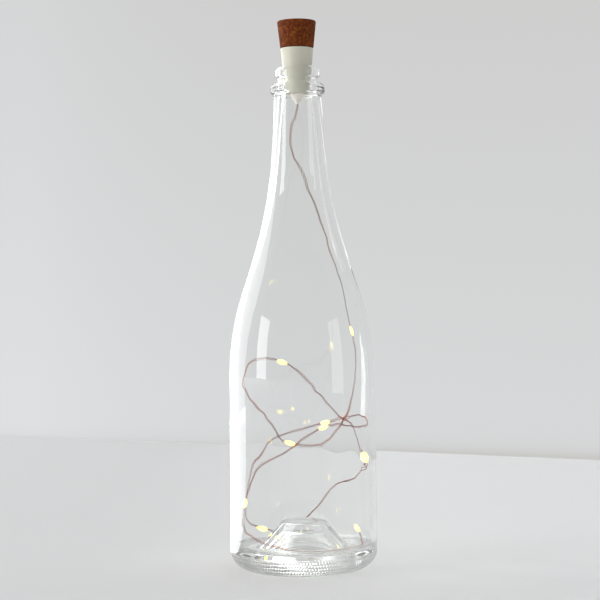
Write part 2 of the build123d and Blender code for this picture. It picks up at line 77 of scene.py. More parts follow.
# The wire's route, from the stopper's gland to its last light, as in the source
ROUTE = [
    # Out of the gland and down the neck
    (0.0000, 0.0000, 0.2776),
    (0.0000, 0.0000, 0.2734),
    (-0.0048, -0.0010, 0.2620),
    (-0.0049, -0.0020, 0.2505),
    (0.0017, -0.0010, 0.2385),
    (0.0052, 0.0030, 0.2265),
    # Along the right shoulder
    (0.0126, 0.0040, 0.2085),
    (0.0200, 0.0080, 0.1880),
    (0.0269, 0.0100, 0.1660),
    (0.0289, 0.0120, 0.1475),
    (0.0333, 0.0130, 0.1340),
    (0.0352, 0.0120, 0.1190),
    # Forwards and across the front
    (0.0287, 0.0030, 0.1025),
    (0.0266, -0.0050, 0.0925),
    (0.0216, -0.0140, 0.0830),
    (0.0106, -0.0230, 0.0750),
    (-0.0014, -0.0280, 0.0755),
    (-0.0129, -0.0290, 0.0790),
    (-0.0154, -0.0270, 0.0870),
    # Up the left wall and over
    (-0.0259, -0.0200, 0.0970),
    (-0.0363, -0.0040, 0.1100),
    (-0.0332, 0.0080, 0.1225),
    (-0.0217, 0.0140, 0.1260),
    # Down across the back to the right wall
    (-0.0008, 0.0170, 0.1185),
    (0.0122, 0.0130, 0.0995),
    (0.0271, 0.0080, 0.0865),
    (0.0326, 0.0030, 0.0780),
    (0.0356, -0.0007, 0.0717),
    (0.0391, -0.0031, 0.0596),
    # Down behind the punt to the left
    (0.0305, 0.0050, 0.0525),
    (0.0180, 0.0140, 0.0460),
    (0.0084, 0.0220, 0.0340),
    (-0.0041, 0.0240, 0.0205),
    (-0.0180, 0.0196, 0.0170),
    (-0.0331, 0.0080, 0.0260),
    (-0.0376, 0.0000, 0.0325),
    # Up the left wall and across the middle
    (-0.0330, -0.0040, 0.0490),
    (-0.0290, 0.0020, 0.0620),
    (-0.0214, 0.0080, 0.0755),
    (-0.0099, 0.0100, 0.0795),
    (0.0046, 0.0040, 0.0840),
    (0.0226, -0.0010, 0.0885),
    # A small turn at the right wall and back across the front
    (0.0316, 0.0055, 0.0905),
    (0.0371, 0.0085, 0.0895),
    (0.0396, 0.0045, 0.0875),
    (0.0396, -0.0025, 0.0855),
    (0.0351, -0.0095, 0.0845),
    (0.0276, -0.0180, 0.0860),
    (0.0181, -0.0250, 0.0880),
    (0.0061, -0.0310, 0.0845),
    (-0.0049, -0.0340, 0.0760),
    (-0.0155, -0.0320, 0.0695),
    (-0.0255, -0.0260, 0.0645),
    # Down the left wall
    (-0.0295, -0.0180, 0.0540),
    (-0.0341, -0.0140, 0.0445),
    (-0.0356, -0.0120, 0.0370),
    (-0.0361, -0.0130, 0.0255),
    # Along the floor at the front and up to the last light
    (-0.0287, -0.0210, 0.0205),
    (-0.0177, -0.0290, 0.0170),
    (-0.0022, -0.0350, 0.0150),
    (0.0148, -0.0330, 0.0138),
    (0.0268, -0.0240, 0.0137),
    (0.0348, -0.0140, 0.0145),
    (0.0343, -0.0100, 0.0210),
    (0.0299, -0.0070, 0.0255),
]


class Seen(Enum):
    """The kind of surface that a lamp shows in."""

    MATT = "matt"
    GLOSS = "gloss"
    GLASS = "glass"


class Body(Enum):
    """The bodies that the new pieces ride on."""

    BOTTLE = "bottle"
    STOPPER = "stopper"
    CORK = "cork"


def tone(red: float, green: float, blue: float) -> Colour:
    """A colour as it shows on a display, from 0 to 255, made linear.

    Args:
        red: Red, from 0 to 255.
        green: Green, from 0 to 255.
        blue: Blue, from 0 to 255.

    Returns:
        The linear colour, with full alpha.
    """
    shown = np.array([red, green, blue]) / 255
    linear = np.where(shown <= 0.04045, shown / 12.92, ((shown + 0.055) / 1.055) ** 2.4)
    return (float(linear[0]), float(linear[1]), float(linear[2]), 1.0)


# Meshes


def make_piece(
    name: str,
    points: np.ndarray,
    quads: np.ndarray,
    triangles: np.ndarray,
    attributes: dict[str, np.ndarray] | None = None,
) -> bpy.types.Object:
    """Puts points and faces into a new smooth mesh object at the origin.

    Args:
        name: The piece's name.
        points: One row of x, y, z for each vertex.
        quads: One row of four vertex numbers for each four-sided face.
        triangles: One row of three vertex numbers for each triangle.
        attributes: One value for each vertex, by the attribute's name.

    Returns:
        The new object, linked to the scene.
    """
    mesh = bpy.data.meshes.new(name)
    corners = np.concatenate([quads.ravel(), triangles.ravel()]).astype(np.int32)
    sizes = np.concatenate([np.full(len(quads), 4), np.full(len(triangles), 3)])
    starts = np.concatenate([[0], np.cumsum(sizes)[:-1]]).astype(np.int32)
    mesh.vertices.add(len(points))
    mesh.vertices.foreach_set("co", points.astype(np.float32).ravel())
    mesh.loops.add(len(corners))
    mesh.loops.foreach_set("vertex_index", corners)
    mesh.polygons.add(len(sizes))
    mesh.polygons.foreach_set("loop_start", starts)
    mesh.polygons.foreach_set("use_smooth", np.ones(len(sizes), bool))
    for key, values in (attributes or {}).items():
        attribute = mesh.attributes.new(key, "FLOAT", "POINT")
        attribute.data.foreach_set("value", values.astype(np.float32).ravel())
    mesh.update(calc_edges=True)
    mesh.validate()
    piece = bpy.data.objects.new(name, mesh)
    bpy.context.scene.collection.objects.link(piece)
    return piece


def grid_quads(rows: int, columns: int, closed: bool = True) -> np.ndarray:
    """Faces between the rows and columns of a grid of points.

    Each face goes along its row first and then to the next row, so that it
    faces outwards on a surface turned about +Z whose rows go up outside.

    Args:
        rows: How many rows of points there are.
        columns: How many points a row has.
        closed: Whether the last column joins the first.

    Returns:
        One row of four vertex numbers for each face.
    """
    row, column = np.meshgrid(
        np.arange(rows - 1), np.arange(columns - (not closed)), indexing="ij"
    )
    after = (column + 1) % columns
    near, far = row * columns, (row + 1) * columns
    return np.stack([near + column, near + after, far + after, far + column], -1).reshape(-1, 4)


def numbered(counts: np.ndarray) -> tuple[np.ndarray, np.ndarray]:
    """Numbers the points of groups of these sizes.

    Args:
        counts: How many points each group has.

    Returns:
        The group of each point, and the point's place in it, from 0.
    """
    owner = np.repeat(np.arange(len(counts)), counts)
    return owner, np.arange(counts.sum()) - np.repeat(np.cumsum(counts) - counts, counts)


def rounded_outline(
    corners: np.ndarray, step: float = math.radians(6), fewest: int = 4
) -> np.ndarray:
    """An outline whose corners are rounded by arcs.

    At a corner that turns by an angle, the arc of a radius starts the radius
    times the tangent of half the turn before it, and ends as far after it.

    Args:
        corners: One row of radius, height and the radius of its arc for each
            corner. The first and last corners stay sharp.
        step: The largest angle between two points of an arc.
        fewest: The fewest steps in an arc.

    Returns:
        The outline's points, one row of radius and height each.
    """
    spots, radii = corners[:, :2], corners[1:-1, 2]
    here, before, after = spots[1:-1], spots[:-2], spots[2:]
    inward = (here - before) / np.linalg.norm(here - before, axis=1)[:, None]
    outward = (after - here) / np.linalg.norm(after - here, axis=1)[:, None]
    side = inward[:, 0] * outward[:, 1] - inward[:, 1] * outward[:, 0]
    turn = np.arctan2(side, (inward * outward).sum(1))
    start = here - inward * (radii * np.tan(np.abs(turn) / 2))[:, None]
    normal = np.stack([-inward[:, 1], inward[:, 0]], 1) * np.sign(turn)[:, None]
    centre = start + normal * radii[:, None]
    count = np.maximum(np.ceil(np.abs(turn) / step).astype(int), fewest) + 1
    owner, place = numbered(count)
    angle = turn[owner] * place / (count[owner] - 1)
    arm = (start - centre)[owner]
    cos, sin = np.cos(angle), np.sin(angle)
    turned = np.stack([arm[:, 0] * cos - arm[:, 1] * sin, arm[:, 0] * sin + arm[:, 1] * cos], 1)
    return np.concatenate([spots[:1], centre[owner] + turned, spots[-1:]])


def even_steps(outline: np.ndarray, longest: float) -> np.ndarray:
    """Divides the long runs of an outline into equal lengths.

    Args:
        outline: The outline's points.
        longest: The longest run that stays whole.

    Returns:
        The outline with the points added on its runs.
    """
    run = np.diff(outline, axis=0)
    count = np.maximum(np.ceil(np.linalg.norm(run, axis=1) / longest).astype(int), 1)
    owner, place = numbered(count)
    stepped = outline[owner] + run[owner] * (place / count[owner])[:, None]
    return np.concatenate([stepped, outline[-1:]])


def turned_grid(outline: np.ndarray, columns: int) -> np.ndarray:
    """An outline turned about the upright axis.

    The point of row i and column j is the outline's radius i along the
    direction of angle j, at the outline's height i.

    Args:
        outline: One row of radius and height for each row of the grid.
        columns: How many directions there are.

    Returns:
        The points, as an array of rows, columns and x, y, z.
    """
    angle = np.arange(columns) * 2 * math.pi / columns
    radius, height = outline[:, :1], outline[:, 1:]
    return np.stack([radius * np.cos(angle), radius * np.sin(angle), height + 0 * angle], -1)


def turned_piece(
    name: str, grid: np.ndarray, attributes: dict[str, np.ndarray] | None = None
) -> bpy.types.Object:
    """A closed piece from a turned grid whose first and last rows are points on the axis.

    Args:
        name: The piece's name.
        grid: The points, as an array of rows, columns and x, y, z.
        attributes: One value for each point of the grid, by the attribute's name.

    Returns:
        The new object, with each pole one vertex.
    """
    rows, columns = grid.shape[:2]
    ring = np.arange(columns)
    after = (ring + 1) % columns
    last = (rows - 2) * columns + 1
    points = np.concatenate([grid[0, :1], grid[1:-1].reshape(-1, 3), grid[-1, :1]])
    quads = grid_quads(rows - 2, columns) + 1
    first_cap = np.stack([np.zeros_like(ring), 1 + after, 1 + ring], 1)
    last_cap = np.stack([last - columns + ring, last - columns + after, np.full(columns, last)], 1)
    kept = {
        key: np.concatenate([values[0, :1], values[1:-1].ravel(), values[-1, :1]])
        for key, values in (attributes or {}).items()
    }
    return make_piece(name, points, quads, np.concatenate([first_cap, last_cap]), kept)


def waves(place: np.ndarray, seed: int, longest: float, count: int = 24) -> np.ndarray:
    """Smooth seeded unevenness: a sum of plane waves of random direction and phase.

    Args:
        place: Points, in metres.
        seed: The seed of the waves.
        longest: The longest wavelength, and twice the shortest.
        count: How many waves are added.

    Returns:
        One value for each point, of about -1 to 1.
    """
    random = np.random.default_rng(seed)
    direction = random.normal(size=(count, 3))
    direction /= np.linalg.norm(direction, axis=1)[:, None]
    wave = direction * (2 * math.pi / (longest * random.uniform(0.5, 1, count)))[:, None]
    phase = random.uniform(0, 2 * math.pi, count)
    return np.sin(place @ wave.T + phase).sum(-1) / math.sqrt(2 * count)


# Node trees


class Wiring:
    """Places nodes in a node tree and joins them, from left to right."""

    def __init__(self, tree: bpy.types.NodeTree) -> None:
        """Starts on an emptied tree.

        Args:
            tree: The node tree to fill.
        """
        self.tree = tree
        self.tree.nodes.clear()
        self.column = 0

    def add(
        self, kind: str, inputs: dict[str | int, object] | None = None, **settings: object
    ) -> bpy.types.Node:
        """Adds a node.

        Args:
            kind: The node's type.
            inputs: A value or another node's socket for each input, by name or number.
            settings: The node's own settings.

        Returns:
            The new node.
        """
        node = self.tree.nodes.new(kind)
        node.location = (200 * self.column, -60 * (self.column % 4))
        self.column += 1
        for key, value in settings.items():
            setattr(node, key, value)
        for key, value in (inputs or {}).items():
            if isinstance(value, bpy.types.NodeSocket):
                self.tree.links.new(value, node.inputs[key])
            else:
                node.inputs[key].default_value = value
        return node

    def maths(self, operation: str, first: object, second: object = 0.0) -> bpy.types.NodeSocket:
        """The result of a Math node on two values or sockets."""
        return self.add("ShaderNodeMath", {0: first, 1: second}, operation=operation).outputs[0]

    def noise(
        self, place: bpy.types.NodeSocket, scale: object, detail: float, roughness: float = 0.5
    ) -> bpy.types.NodeSocket:
        """Adds a noise.

        Args:
            place: The coordinates that it follows.
            scale: How many of its waves go into a metre.
            detail: How many finer noises are added to it.
            roughness: How strong the finer noises are.

        Returns:
            The noise's value, of about 0 to 1.
        """
        inputs = {"Vector": place, "Scale": scale, "Detail": detail, "Roughness": roughness}
        return self.add("ShaderNodeTexNoise", inputs).outputs["Fac"]

    def ramp(
        self, factor: bpy.types.NodeSocket, stops: Sequence[tuple[float, Colour]]
    ) -> bpy.types.NodeSocket:
        """Adds a colour ramp.

        Args:
            factor: The value that picks the colour.
            stops: The place and the colour of each stop.

        Returns:
            The colour.
        """
        node = self.add("ShaderNodeValToRGB", {"Fac": factor})
        elements = node.color_ramp.elements
        while len(elements) < len(stops):
            elements.new(0.5)
        for element, (position, colour) in zip(elements, stops):
            element.position = position
            element.color = colour
        return node.outputs["Color"]


def new_group(
    name: str, inputs: list[tuple[str, str, object]], outputs: list[tuple[str, str]]
) -> tuple[Wiring, bpy.types.NodeOutputs]:
    """Starts a node group with named sockets.

    Args:
        name: The group's name.
        inputs: Each input's name, socket type and default value.
        outputs: Each output's name and socket type.

    Returns:
        The wiring of the group, and the sockets of its inputs by their names.
    """
    tree = bpy.data.node_groups.new(name, "ShaderNodeTree")
    for label, kind, value in inputs:
        tree.interface.new_socket(label, in_out="INPUT", socket_type=kind).default_value = value
    for label, kind in outputs:
        tree.interface.new_socket(label, in_out="OUTPUT", socket_type=kind)
    wiring = Wiring(tree)
    return wiring, wiring.add("NodeGroupInput").outputs


def grain_group() -> bpy.types.NodeTree:
    """Uneven surface: fine grain over slow mottling, on the piece's own coordinates.

    The colour is multiplied by one plus its swing times a blend of the slow
    and the fine noise, which is zero on the mean. The roughness gets the fine
    noise, less its mean, times its own swing. The height is the fine noise.

    Returns:
        The node group.
    """
    coarser, slow_share, fine_share, fine_mean = 9.0, 1.4, 0.6, 0.5
    fine_detail, slow_detail = 4.0, 2.0
    group, given = new_group(
        "surface_grain",
        [
            ("Colour", "NodeSocketColor", (0.8, 0.8, 0.8, 1.0)),
            ("Scale", "NodeSocketFloat", 800.0),
            ("Stretch", "NodeSocketVector", (1.0, 1.0, 1.0)),
            ("Colour Swing", "NodeSocketFloat", 0.1),
            ("Roughness", "NodeSocketFloat", 0.5),
            ("Roughness Swing", "NodeSocketFloat", 0.1),
        ],
        [
            ("Colour", "NodeSocketColor"),
            ("Roughness", "NodeSocketFloat"),
            ("Height", "NodeSocketFloat"),
        ],
    )
    place = group.add("ShaderNodeTexCoord").outputs["Object"]
    drawn = group.add(
        "ShaderNodeVectorMath", {0: place, 1: given["Stretch"]}, operation="MULTIPLY"
    ).outputs[0]
    fine = group.noise(drawn, given["Scale"], fine_detail)
    slow = group.noise(drawn, group.maths("DIVIDE", given["Scale"], coarser), slow_detail)
    slow_part = group.maths("MULTIPLY", slow, slow_share)
    fine_part = group.maths("MULTIPLY", fine, fine_share)
    blend = group.maths("SUBTRACT", group.maths("ADD", slow_part, fine_part), 1.0)
    swing = group.maths("MULTIPLY", blend, given["Colour Swing"])
    colour = group.add(
        "ShaderNodeVectorMath",
        {0: given["Colour"], "Scale": group.maths("ADD", swing, 1.0)},
        operation="SCALE",
    ).outputs[0]
    centred = group.maths("SUBTRACT", fine, fine_mean)
    rough = group.maths("MULTIPLY", centred, given["Roughness Swing"])
    group.add(
        "NodeGroupOutput",
        {
            "Colour": colour,
            "Roughness": group.maths("ADD", given["Roughness"], rough),
            "Height": fine,
        },
    )
    return group.tree


def stipple_group() -> bpy.types.NodeTree:
    """Rows of small raised dots round the bottle's heel.

    The height is a wave of the angle about the axis times a wave of the height
    above the foot, raised to a power that sharpens the dots. Each row is half
    a dot on from the last, and all is kept inside a band on the outside. The
    colour goes from the glass's own to a painted shade on the dots with the
    height: a dark colour for the light that their curved faces turn away.

    Returns:
        The node group.
    """
    group, given = new_group(
        "heel_stipple",
        [
            ("Dots Round", "NodeSocketFloat", 150.0),
            ("Row Pitch", "NodeSocketFloat", 0.0021),
            ("Sharpness", "NodeSocketFloat", 1.6),
            ("Lowest", "NodeSocketFloat", 0.0008),
            ("Highest", "NodeSocketFloat", 0.0112),
            ("Innermost", "NodeSocketFloat", 0.0335),
            ("Glass", "NodeSocketColor", WHITE),
            ("Dot", "NodeSocketColor", WHITE),
        ],
        [("Height", "NodeSocketFloat"), ("Colour", "NodeSocketColor")],
    )
    place = group.add("ShaderNodeTexCoord").outputs["Object"]
    axes = group.add("ShaderNodeSeparateXYZ", {0: place}).outputs
    angle = group.maths("ARCTAN2", axes["Y"], axes["X"])
    row = group.maths("DIVIDE", axes["Z"], given["Row Pitch"])
    stagger = group.maths("MULTIPLY", group.maths("FLOOR", row), math.pi)
    turn = group.maths("ADD", group.maths("MULTIPLY", angle, given["Dots Round"]), stagger)
    across = group.maths("MULTIPLY", group.maths("ADD", group.maths("COSINE", turn), 1.0), 0.5)
    inside = group.maths("SINE", group.maths("MULTIPLY", group.maths("FRACT", row), math.pi))
    dot = group.maths("POWER", group.maths("MULTIPLY", across, inside), given["Sharpness"])
    above = group.maths("GREATER_THAN", axes["Z"], given["Lowest"])
    below = group.maths("LESS_THAN", axes["Z"], given["Highest"])
    level = group.add(
        "ShaderNodeVectorMath", {0: place, 1: (1, 1, 0)}, operation="MULTIPLY"
    ).outputs[0]
    reach = group.add("ShaderNodeVectorMath", {0: level}, operation="LENGTH").outputs["Value"]
    outside = group.maths("GREATER_THAN", reach, given["Innermost"])
    band = group.maths("MULTIPLY", group.maths("MULTIPLY", above, below), outside)
    height = group.maths("MULTIPLY", dot, band)
    # Painted shade on the dots: the colour darkens with the dots' height
    colour = group.add(
        "ShaderNodeMix", {"Factor": height, 6: given["Glass"], 7: given["Dot"]}, data_type="RGBA"
    ).outputs[2]
    group.add("NodeGroupOutput", {"Height": height, "Colour": colour})
    return group.tree


@dataclass(frozen=True)
class Groups:
    """The node groups that the finishes share."""

    grain: bpy.types.NodeTree
    stipple: bpy.types.NodeTree


def start_material(name: str) -> tuple[bpy.types.Material, Wiring]:
    """Starts a material.

    Args:
        name: The material's name.

    Returns:
        The new material with an empty node tree, and its wiring.
    """
    material = bpy.data.materials.new(name)
    material.use_nodes = True
    return material, Wiring(material.node_tree)


def put_surface(wiring: Wiring, inputs: dict[str, object]) -> None:
    """Joins a Principled shader with these inputs to the material's output."""
    surface = wiring.add("ShaderNodeBsdfPrincipled", inputs)
    wiring.add("ShaderNodeOutputMaterial", {"Surface": surface.outputs[0]})


@dataclass(frozen=True)
class Grained:
    """A finish of one colour over the shared surface grain, whose height is the bump."""

    name: str
    colour: Colour
    roughness: float = 0.45
    roughness_swing: float = 0.12
    swing: float = 0.08
    scale: float = 900.0
    stretch: tuple[float, float, float] = (1.0, 1.0, 1.0)
    bump: float = 0.00002

    def extras(self) -> dict[str, object]:
        """The shader's inputs that the grain doesn't feed."""
        return {}

    def make(self, groups: Groups) -> bpy.types.Material:
        """Makes the material.

        Args:
            groups: The shared node groups.

        Returns:
            The finished material.
        """
        material, wiring = start_material(self.name)
        grain = wiring.add(
            "ShaderNodeGroup",
            {
                "Colour": self.colour,
                "Scale": self.scale,
                "Stretch": self.stretch,
                "Colour Swing": self.swing,
                "Roughness": self.roughness,
                "Roughness Swing": self.roughness_swing,
            },
            node_tree=groups.grain,
        ).outputs
        bump = wiring.add("ShaderNodeBump", {"Height": grain["Height"], "Distance": self.bump})
        inputs = {
            "Base Color": grain["Colour"],
            "Roughness": grain["Roughness"],
            "Normal": bump.outputs[0],
        }
        put_surface(wiring, inputs | self.extras())
        return material


@dataclass(frozen=True)
class Moulded(Grained):
    """Plastic, rubber, coated board or foam, with fine moulded grain."""

    coat: float = 0.0
    transmission: float = 0.0

    def extras(self) -> dict[str, object]:
        """The clear coat, and how much light goes through."""
        return {"Coat Weight": self.coat, "Transmission Weight": self.transmission}


@dataclass(frozen=True)
class Plated(Grained):
    """Bright or brushed metal, with fine lines drawn along one direction.

    The edge is the tint of what it mirrors at a flat angle.
    """

    roughness: float = 0.28
    roughness_swing: float = 0.15
    swing: float = 0.12
    scale: float = 500.0
    stretch: tuple[float, float, float] = (1.0, 1.0, 0.08)
    bump: float = 0.00001
    edge: Colour = WHITE

    def extras(self) -> dict[str, object]:
        """Bare metal, and its tint at a flat angle."""
        return {"Metallic": 1.0, "Specular Tint": self.edge}


@dataclass(frozen=True)
class BottleGlass:
    """Clear flint glass with rows of dots round the heel.

    The heel's dots get a painted shade, a dark colour which stands for the light
    that their curved faces turn away, and stand dot_height proud.
    """

    name: str = "bottle_glass"
    colour: Colour = (0.985, 0.992, 0.988, 1.0)
    # Painted shade of the heel's dots, for the light that their curved faces turn away
    dot: Colour = (0.20, 0.22, 0.20, 1.0)
    dot_height: float = 0.0008
    refraction: float = 1.5
    shadow: Colour = (0.93, 0.95, 0.945, 1.0)

    def make(self, groups: Groups) -> bpy.types.Material:
        """Makes the material. Light from lamps goes straight through it, dimmed a little.

        Args:
            groups: The shared node groups.

        Returns:
            The finished material.
        """
        material, wiring = start_material(self.name)
        stipple = wiring.add(
            "ShaderNodeGroup", {"Glass": self.colour, "Dot": self.dot}, node_tree=groups.stipple
        ).outputs
        bump = wiring.add(
            "ShaderNodeBump", {"Height": stipple["Height"], "Distance": self.dot_height}
        )
        surface = wiring.add(
            "ShaderNodeBsdfPrincipled",
            {
                "Base Color": stipple["Colour"],
                "Roughness": 0.0,
                "IOR": self.refraction,
                "Transmission Weight": 1.0,
                "Normal": bump.outputs[0],
            },
        )
        clear = wiring.add("ShaderNodeBsdfTransparent", {"Color": self.shadow})
        lamp_ray = wiring.add("ShaderNodeLightPath").outputs["Is Shadow Ray"]
        mix = wiring.add(
            "ShaderNodeMixShader", {0: lamp_ray, 1: surface.outputs[0], 2: clear.outputs[0]}
        )
        wiring.add("ShaderNodeOutputMaterial", {"Surface": mix.outputs[0]})
        return material


@dataclass(frozen=True)
class LitResin:
    """Clear resin drop that glows from the light inside it, most of all at its middle.

    The glow goes from the rim's colour through a halfway one to the core's.
    """

    name: str = "lit_resin"
    strength: float = 10.0
    core: Colour = WARM_LIGHT
    halfway: Colour = (0.22, 0.16, 0.04, 1.0)
    halfway_at: float = 0.55
    rim: Colour = (0.075, 0.055, 0.022, 1.0)
    resin: Colour = (0.95, 0.72, 0.36, 1.0)
    roughness: float = 0.12
    refraction: float = 1.5

    def make(self) -> bpy.types.Material:
        """Makes the material, lit by the drop's own glow attribute.

        Returns:
            The finished material.
        """
        material, wiring = start_material(self.name)
        glow = wiring.add("ShaderNodeAttribute", attribute_name="glow").outputs["Fac"]
        light = wiring.ramp(
            glow, ((0.0, self.rim), (self.halfway_at, self.halfway), (1.0, self.core))
        )
        put_surface(
            wiring,
            {
                "Base Color": self.resin,
                "Roughness": self.roughness,
                "IOR": self.refraction,
                "Emission Color": light,
                "Emission Strength": self.strength,
            },
        )
        return material


@dataclass(frozen=True)
class Cork:
    """Fine agglomerated cork: pressed granules of several browns, darker between them.

    The brown is picked by a weighted sum of the granule's own value and of a
    fine and a slow noise. Where the surface sinks between granules the colour is
    darkened, partly for the cork's darker gaps and partly as painted shade.
    """

    name: str = "cork"
    browns: tuple[tuple[float, Colour], ...] = (
        (0.15, tone(74, 31, 13)),
        (0.42, tone(103, 47, 17)),
        (0.62, tone(122, 60, 20)),
        (0.85, tone(146, 82, 30)),
    )
    granule_weight: float = 0.5
    fine_weight: float = 0.3
    slow_weight: float = 0.25
    fine_scale: float = 1600.0
    slow_scale: float = 180.0
    # How much the sunken gaps darken: partly their own darker tone, partly painted shade
    gap_shade: float = 0.6
    bump: float = 0.00012
    bump_strength: float = 0.7
    roughness: float = 0.85
    gloss: float = 0.15

    def make(self) -> bpy.types.Material:
        """Makes the material, coloured by the mesh's granule and gap attributes.

        Returns:
            Makes the material, coloured by the mesh's granule attribute, and darkened by its gap
            attribute with the cork's darker gaps and painted shade.
        """
        material, wiring = start_material(self.name)
        place = wiring.add("ShaderNodeTexCoord").outputs["Object"]
        granule = wiring.add("ShaderNodeAttribute", attribute_name="granule").outputs["Fac"]
        gap_and_shade = wiring.add("ShaderNodeAttribute", attribute_name="gap_and_shade").outputs["Fac"]
        fine = wiring.noise(place, self.fine_scale, detail=5.0, roughness=0.7)
        slow = wiring.noise(place, self.slow_scale, detail=3.0)
        noises = wiring.maths(
            "ADD",
            wiring.maths("MULTIPLY", fine, self.fine_weight),
            wiring.maths("MULTIPLY", slow, self.slow_weight),
        )
        own = wiring.maths("MULTIPLY", granule, self.granule_weight)
        brown = wiring.ramp(wiring.maths("ADD", own, noises), self.browns)
        # Painted shade in the sunken gaps, with the cork's own darker gaps
        light = wiring.maths("SUBTRACT", 1.0, wiring.maths("MULTIPLY", gap_and_shade, self.gap_shade))
        colour = wiring.add(
            "ShaderNodeVectorMath", {0: brown, "Scale": light}, operation="SCALE"
        ).outputs[0]
        bump = wiring.add(
            "ShaderNodeBump",
            {"Height": fine, "Distance": self.bump, "Strength": self.bump_strength},
        )
        put_surface(
            wiring,
            {
                "Base Color": colour,
                "Roughness": self.roughness,
                "Specular IOR Level": self.gloss,
                "Normal": bump.outputs[0],
            },
        )
        return material


# The object


def dress(
    piece: bpy.types.Object, finish: bpy.types.Material, body: Body, node: str
) -> None:
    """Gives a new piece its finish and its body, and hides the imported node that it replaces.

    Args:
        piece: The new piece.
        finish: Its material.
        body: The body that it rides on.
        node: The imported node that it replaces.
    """
    piece.data.materials.append(finish)
    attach(piece, body.value)
    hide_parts(node)


@dataclass
class GlassBottle:
    """The bottle: one rounded outline from the punt, up outside, over the lip and down inside.

    The inner wall is faintly uneven between two heights and outside a radius:
    its unevenness has a wave of some length round the bottle, and is drawn out
    along it.
    """

    height: float = 0.2995
    body_radius: float = 0.044
    heel_radius: float = 0.012
    shoulder_height: float = 0.14011
    shoulder_blend: float = 0.156
    neck_radius: float = 0.0171
    neck_height: float = 0.2189
    neck_blend: float = 0.270
    collar_bottom: float = 0.2828
    collar_start_radius: float = 0.0144
    collar_radius: float = 0.0163
    collar_rise: float = 0.0012
    collar_fall: float = 0.0009
    collar_top: float = 0.2899
    groove_radius: float = 0.012
    groove_top: float = 0.2925
    lip_radius: float = 0.0135
    lip_rise: float = 0.0009
    mouth_radius: float = 0.0089
    mouth_depth: float = 0.0117
    glass_wall: float = 0.0032
    inner_neck_radius: float = 0.01604
    inner_neck_height: float = 0.2121
    inner_shoulder_height: float = 0.13958
    floor_height: float = 0.0125
    foot_radius: float = 0.028
    punt_radius: float = 0.0096
    punt_height: float = 0.0204
    punt_glass: float = 0.0081
    floor_edge_radius: float = 0.0278
    inner_punt_radius: float = 0.0130
    longest_run: float = 0.009
    columns: int = 320
    unevenness: float = 0.00018
    uneven_length: float = 0.022
    uneven_stretch: float = 0.08
    uneven_beyond: float = 0.012
    uneven_from: float = 0.018
    uneven_to: float = 0.275

    def outline(self) -> np.ndarray:
        """The bottle's rounded outline.

        Returns:
            One row of radius and height for each point.
        """
        inner = self.body_radius - self.glass_wall
        punt_top = self.punt_height + self.punt_glass
        # Each corner's radius and height, and the radius of the arc that rounds it
        corners = np.array(
            [
                (0.0, self.punt_height, 0.0),
                (self.punt_radius, self.punt_height, 0.005),
                (self.foot_radius, 0.0, 0.002),
                (self.body_radius, 0.0, self.heel_radius),
                (self.body_radius, self.shoulder_height, self.shoulder_blend),
                (self.neck_radius, self.neck_height, self.neck_blend),
                (self.collar_start_radius, self.collar_bottom, 0.0005),
                (self.collar_radius, self.collar_bottom + self.collar_rise, 0.0018),
                (self.collar_radius, self.collar_top - self.collar_fall, 0.003),
                (self.groove_radius, self.collar_top, 0.0005),
                (self.groove_radius, self.groove_top, 0.0005),
                (self.lip_radius, self.groove_top + self.lip_rise, 0.0012),
                (self.lip_radius, self.height, 0.0034),
                (self.mouth_radius, self.height, 0.0011),
                (self.mouth_radius, self.height - self.mouth_depth, 0.030),
                (self.inner_neck_radius, self.inner_neck_height, 0.220),
                (inner, self.inner_shoulder_height, self.shoulder_blend - self.glass_wall),
                (inner, self.floor_height, 0.005),
                (self.floor_edge_radius, self.floor_height, 0.002),
                (self.inner_punt_radius, punt_top, 0.005),
                (0.0, punt_top, 0.0),
            ]
        )
        return even_steps(rounded_outline(corners), self.longest_run)

    def build(self, finish: bpy.types.Material) -> bpy.types.Object:
        """Turns the outline, and makes the inner wall faintly uneven, as blown glass is.

        Args:
            finish: The bottle's glass.

        Returns:
            The bottle.
        """
        outline = self.outline()
        grid = turned_grid(outline, self.columns)
        radius, height = outline.T
        rim = int(np.argmax(height > self.height - 1e-6))
        inside = (np.arange(len(outline)) > rim) & (radius > self.uneven_beyond)
        uneven = inside & (height > self.uneven_from) & (height < self.uneven_to)
        drawn = grid * np.array([1.0, 1.0, self.uneven_stretch])
        shift = waves(drawn, 11, self.uneven_length) * self.unevenness * uneven[:, None]
        radial = grid * np.array([1.0, 1.0, 0.0])
        radial /= np.maximum(np.linalg.norm(radial, axis=-1, keepdims=True), 1e-9)
        bottle = turned_piece("glass_bottle", grid + radial * shift[..., None])
        dress(bottle, finish, Body.BOTTLE, "bottle")
        return bottle


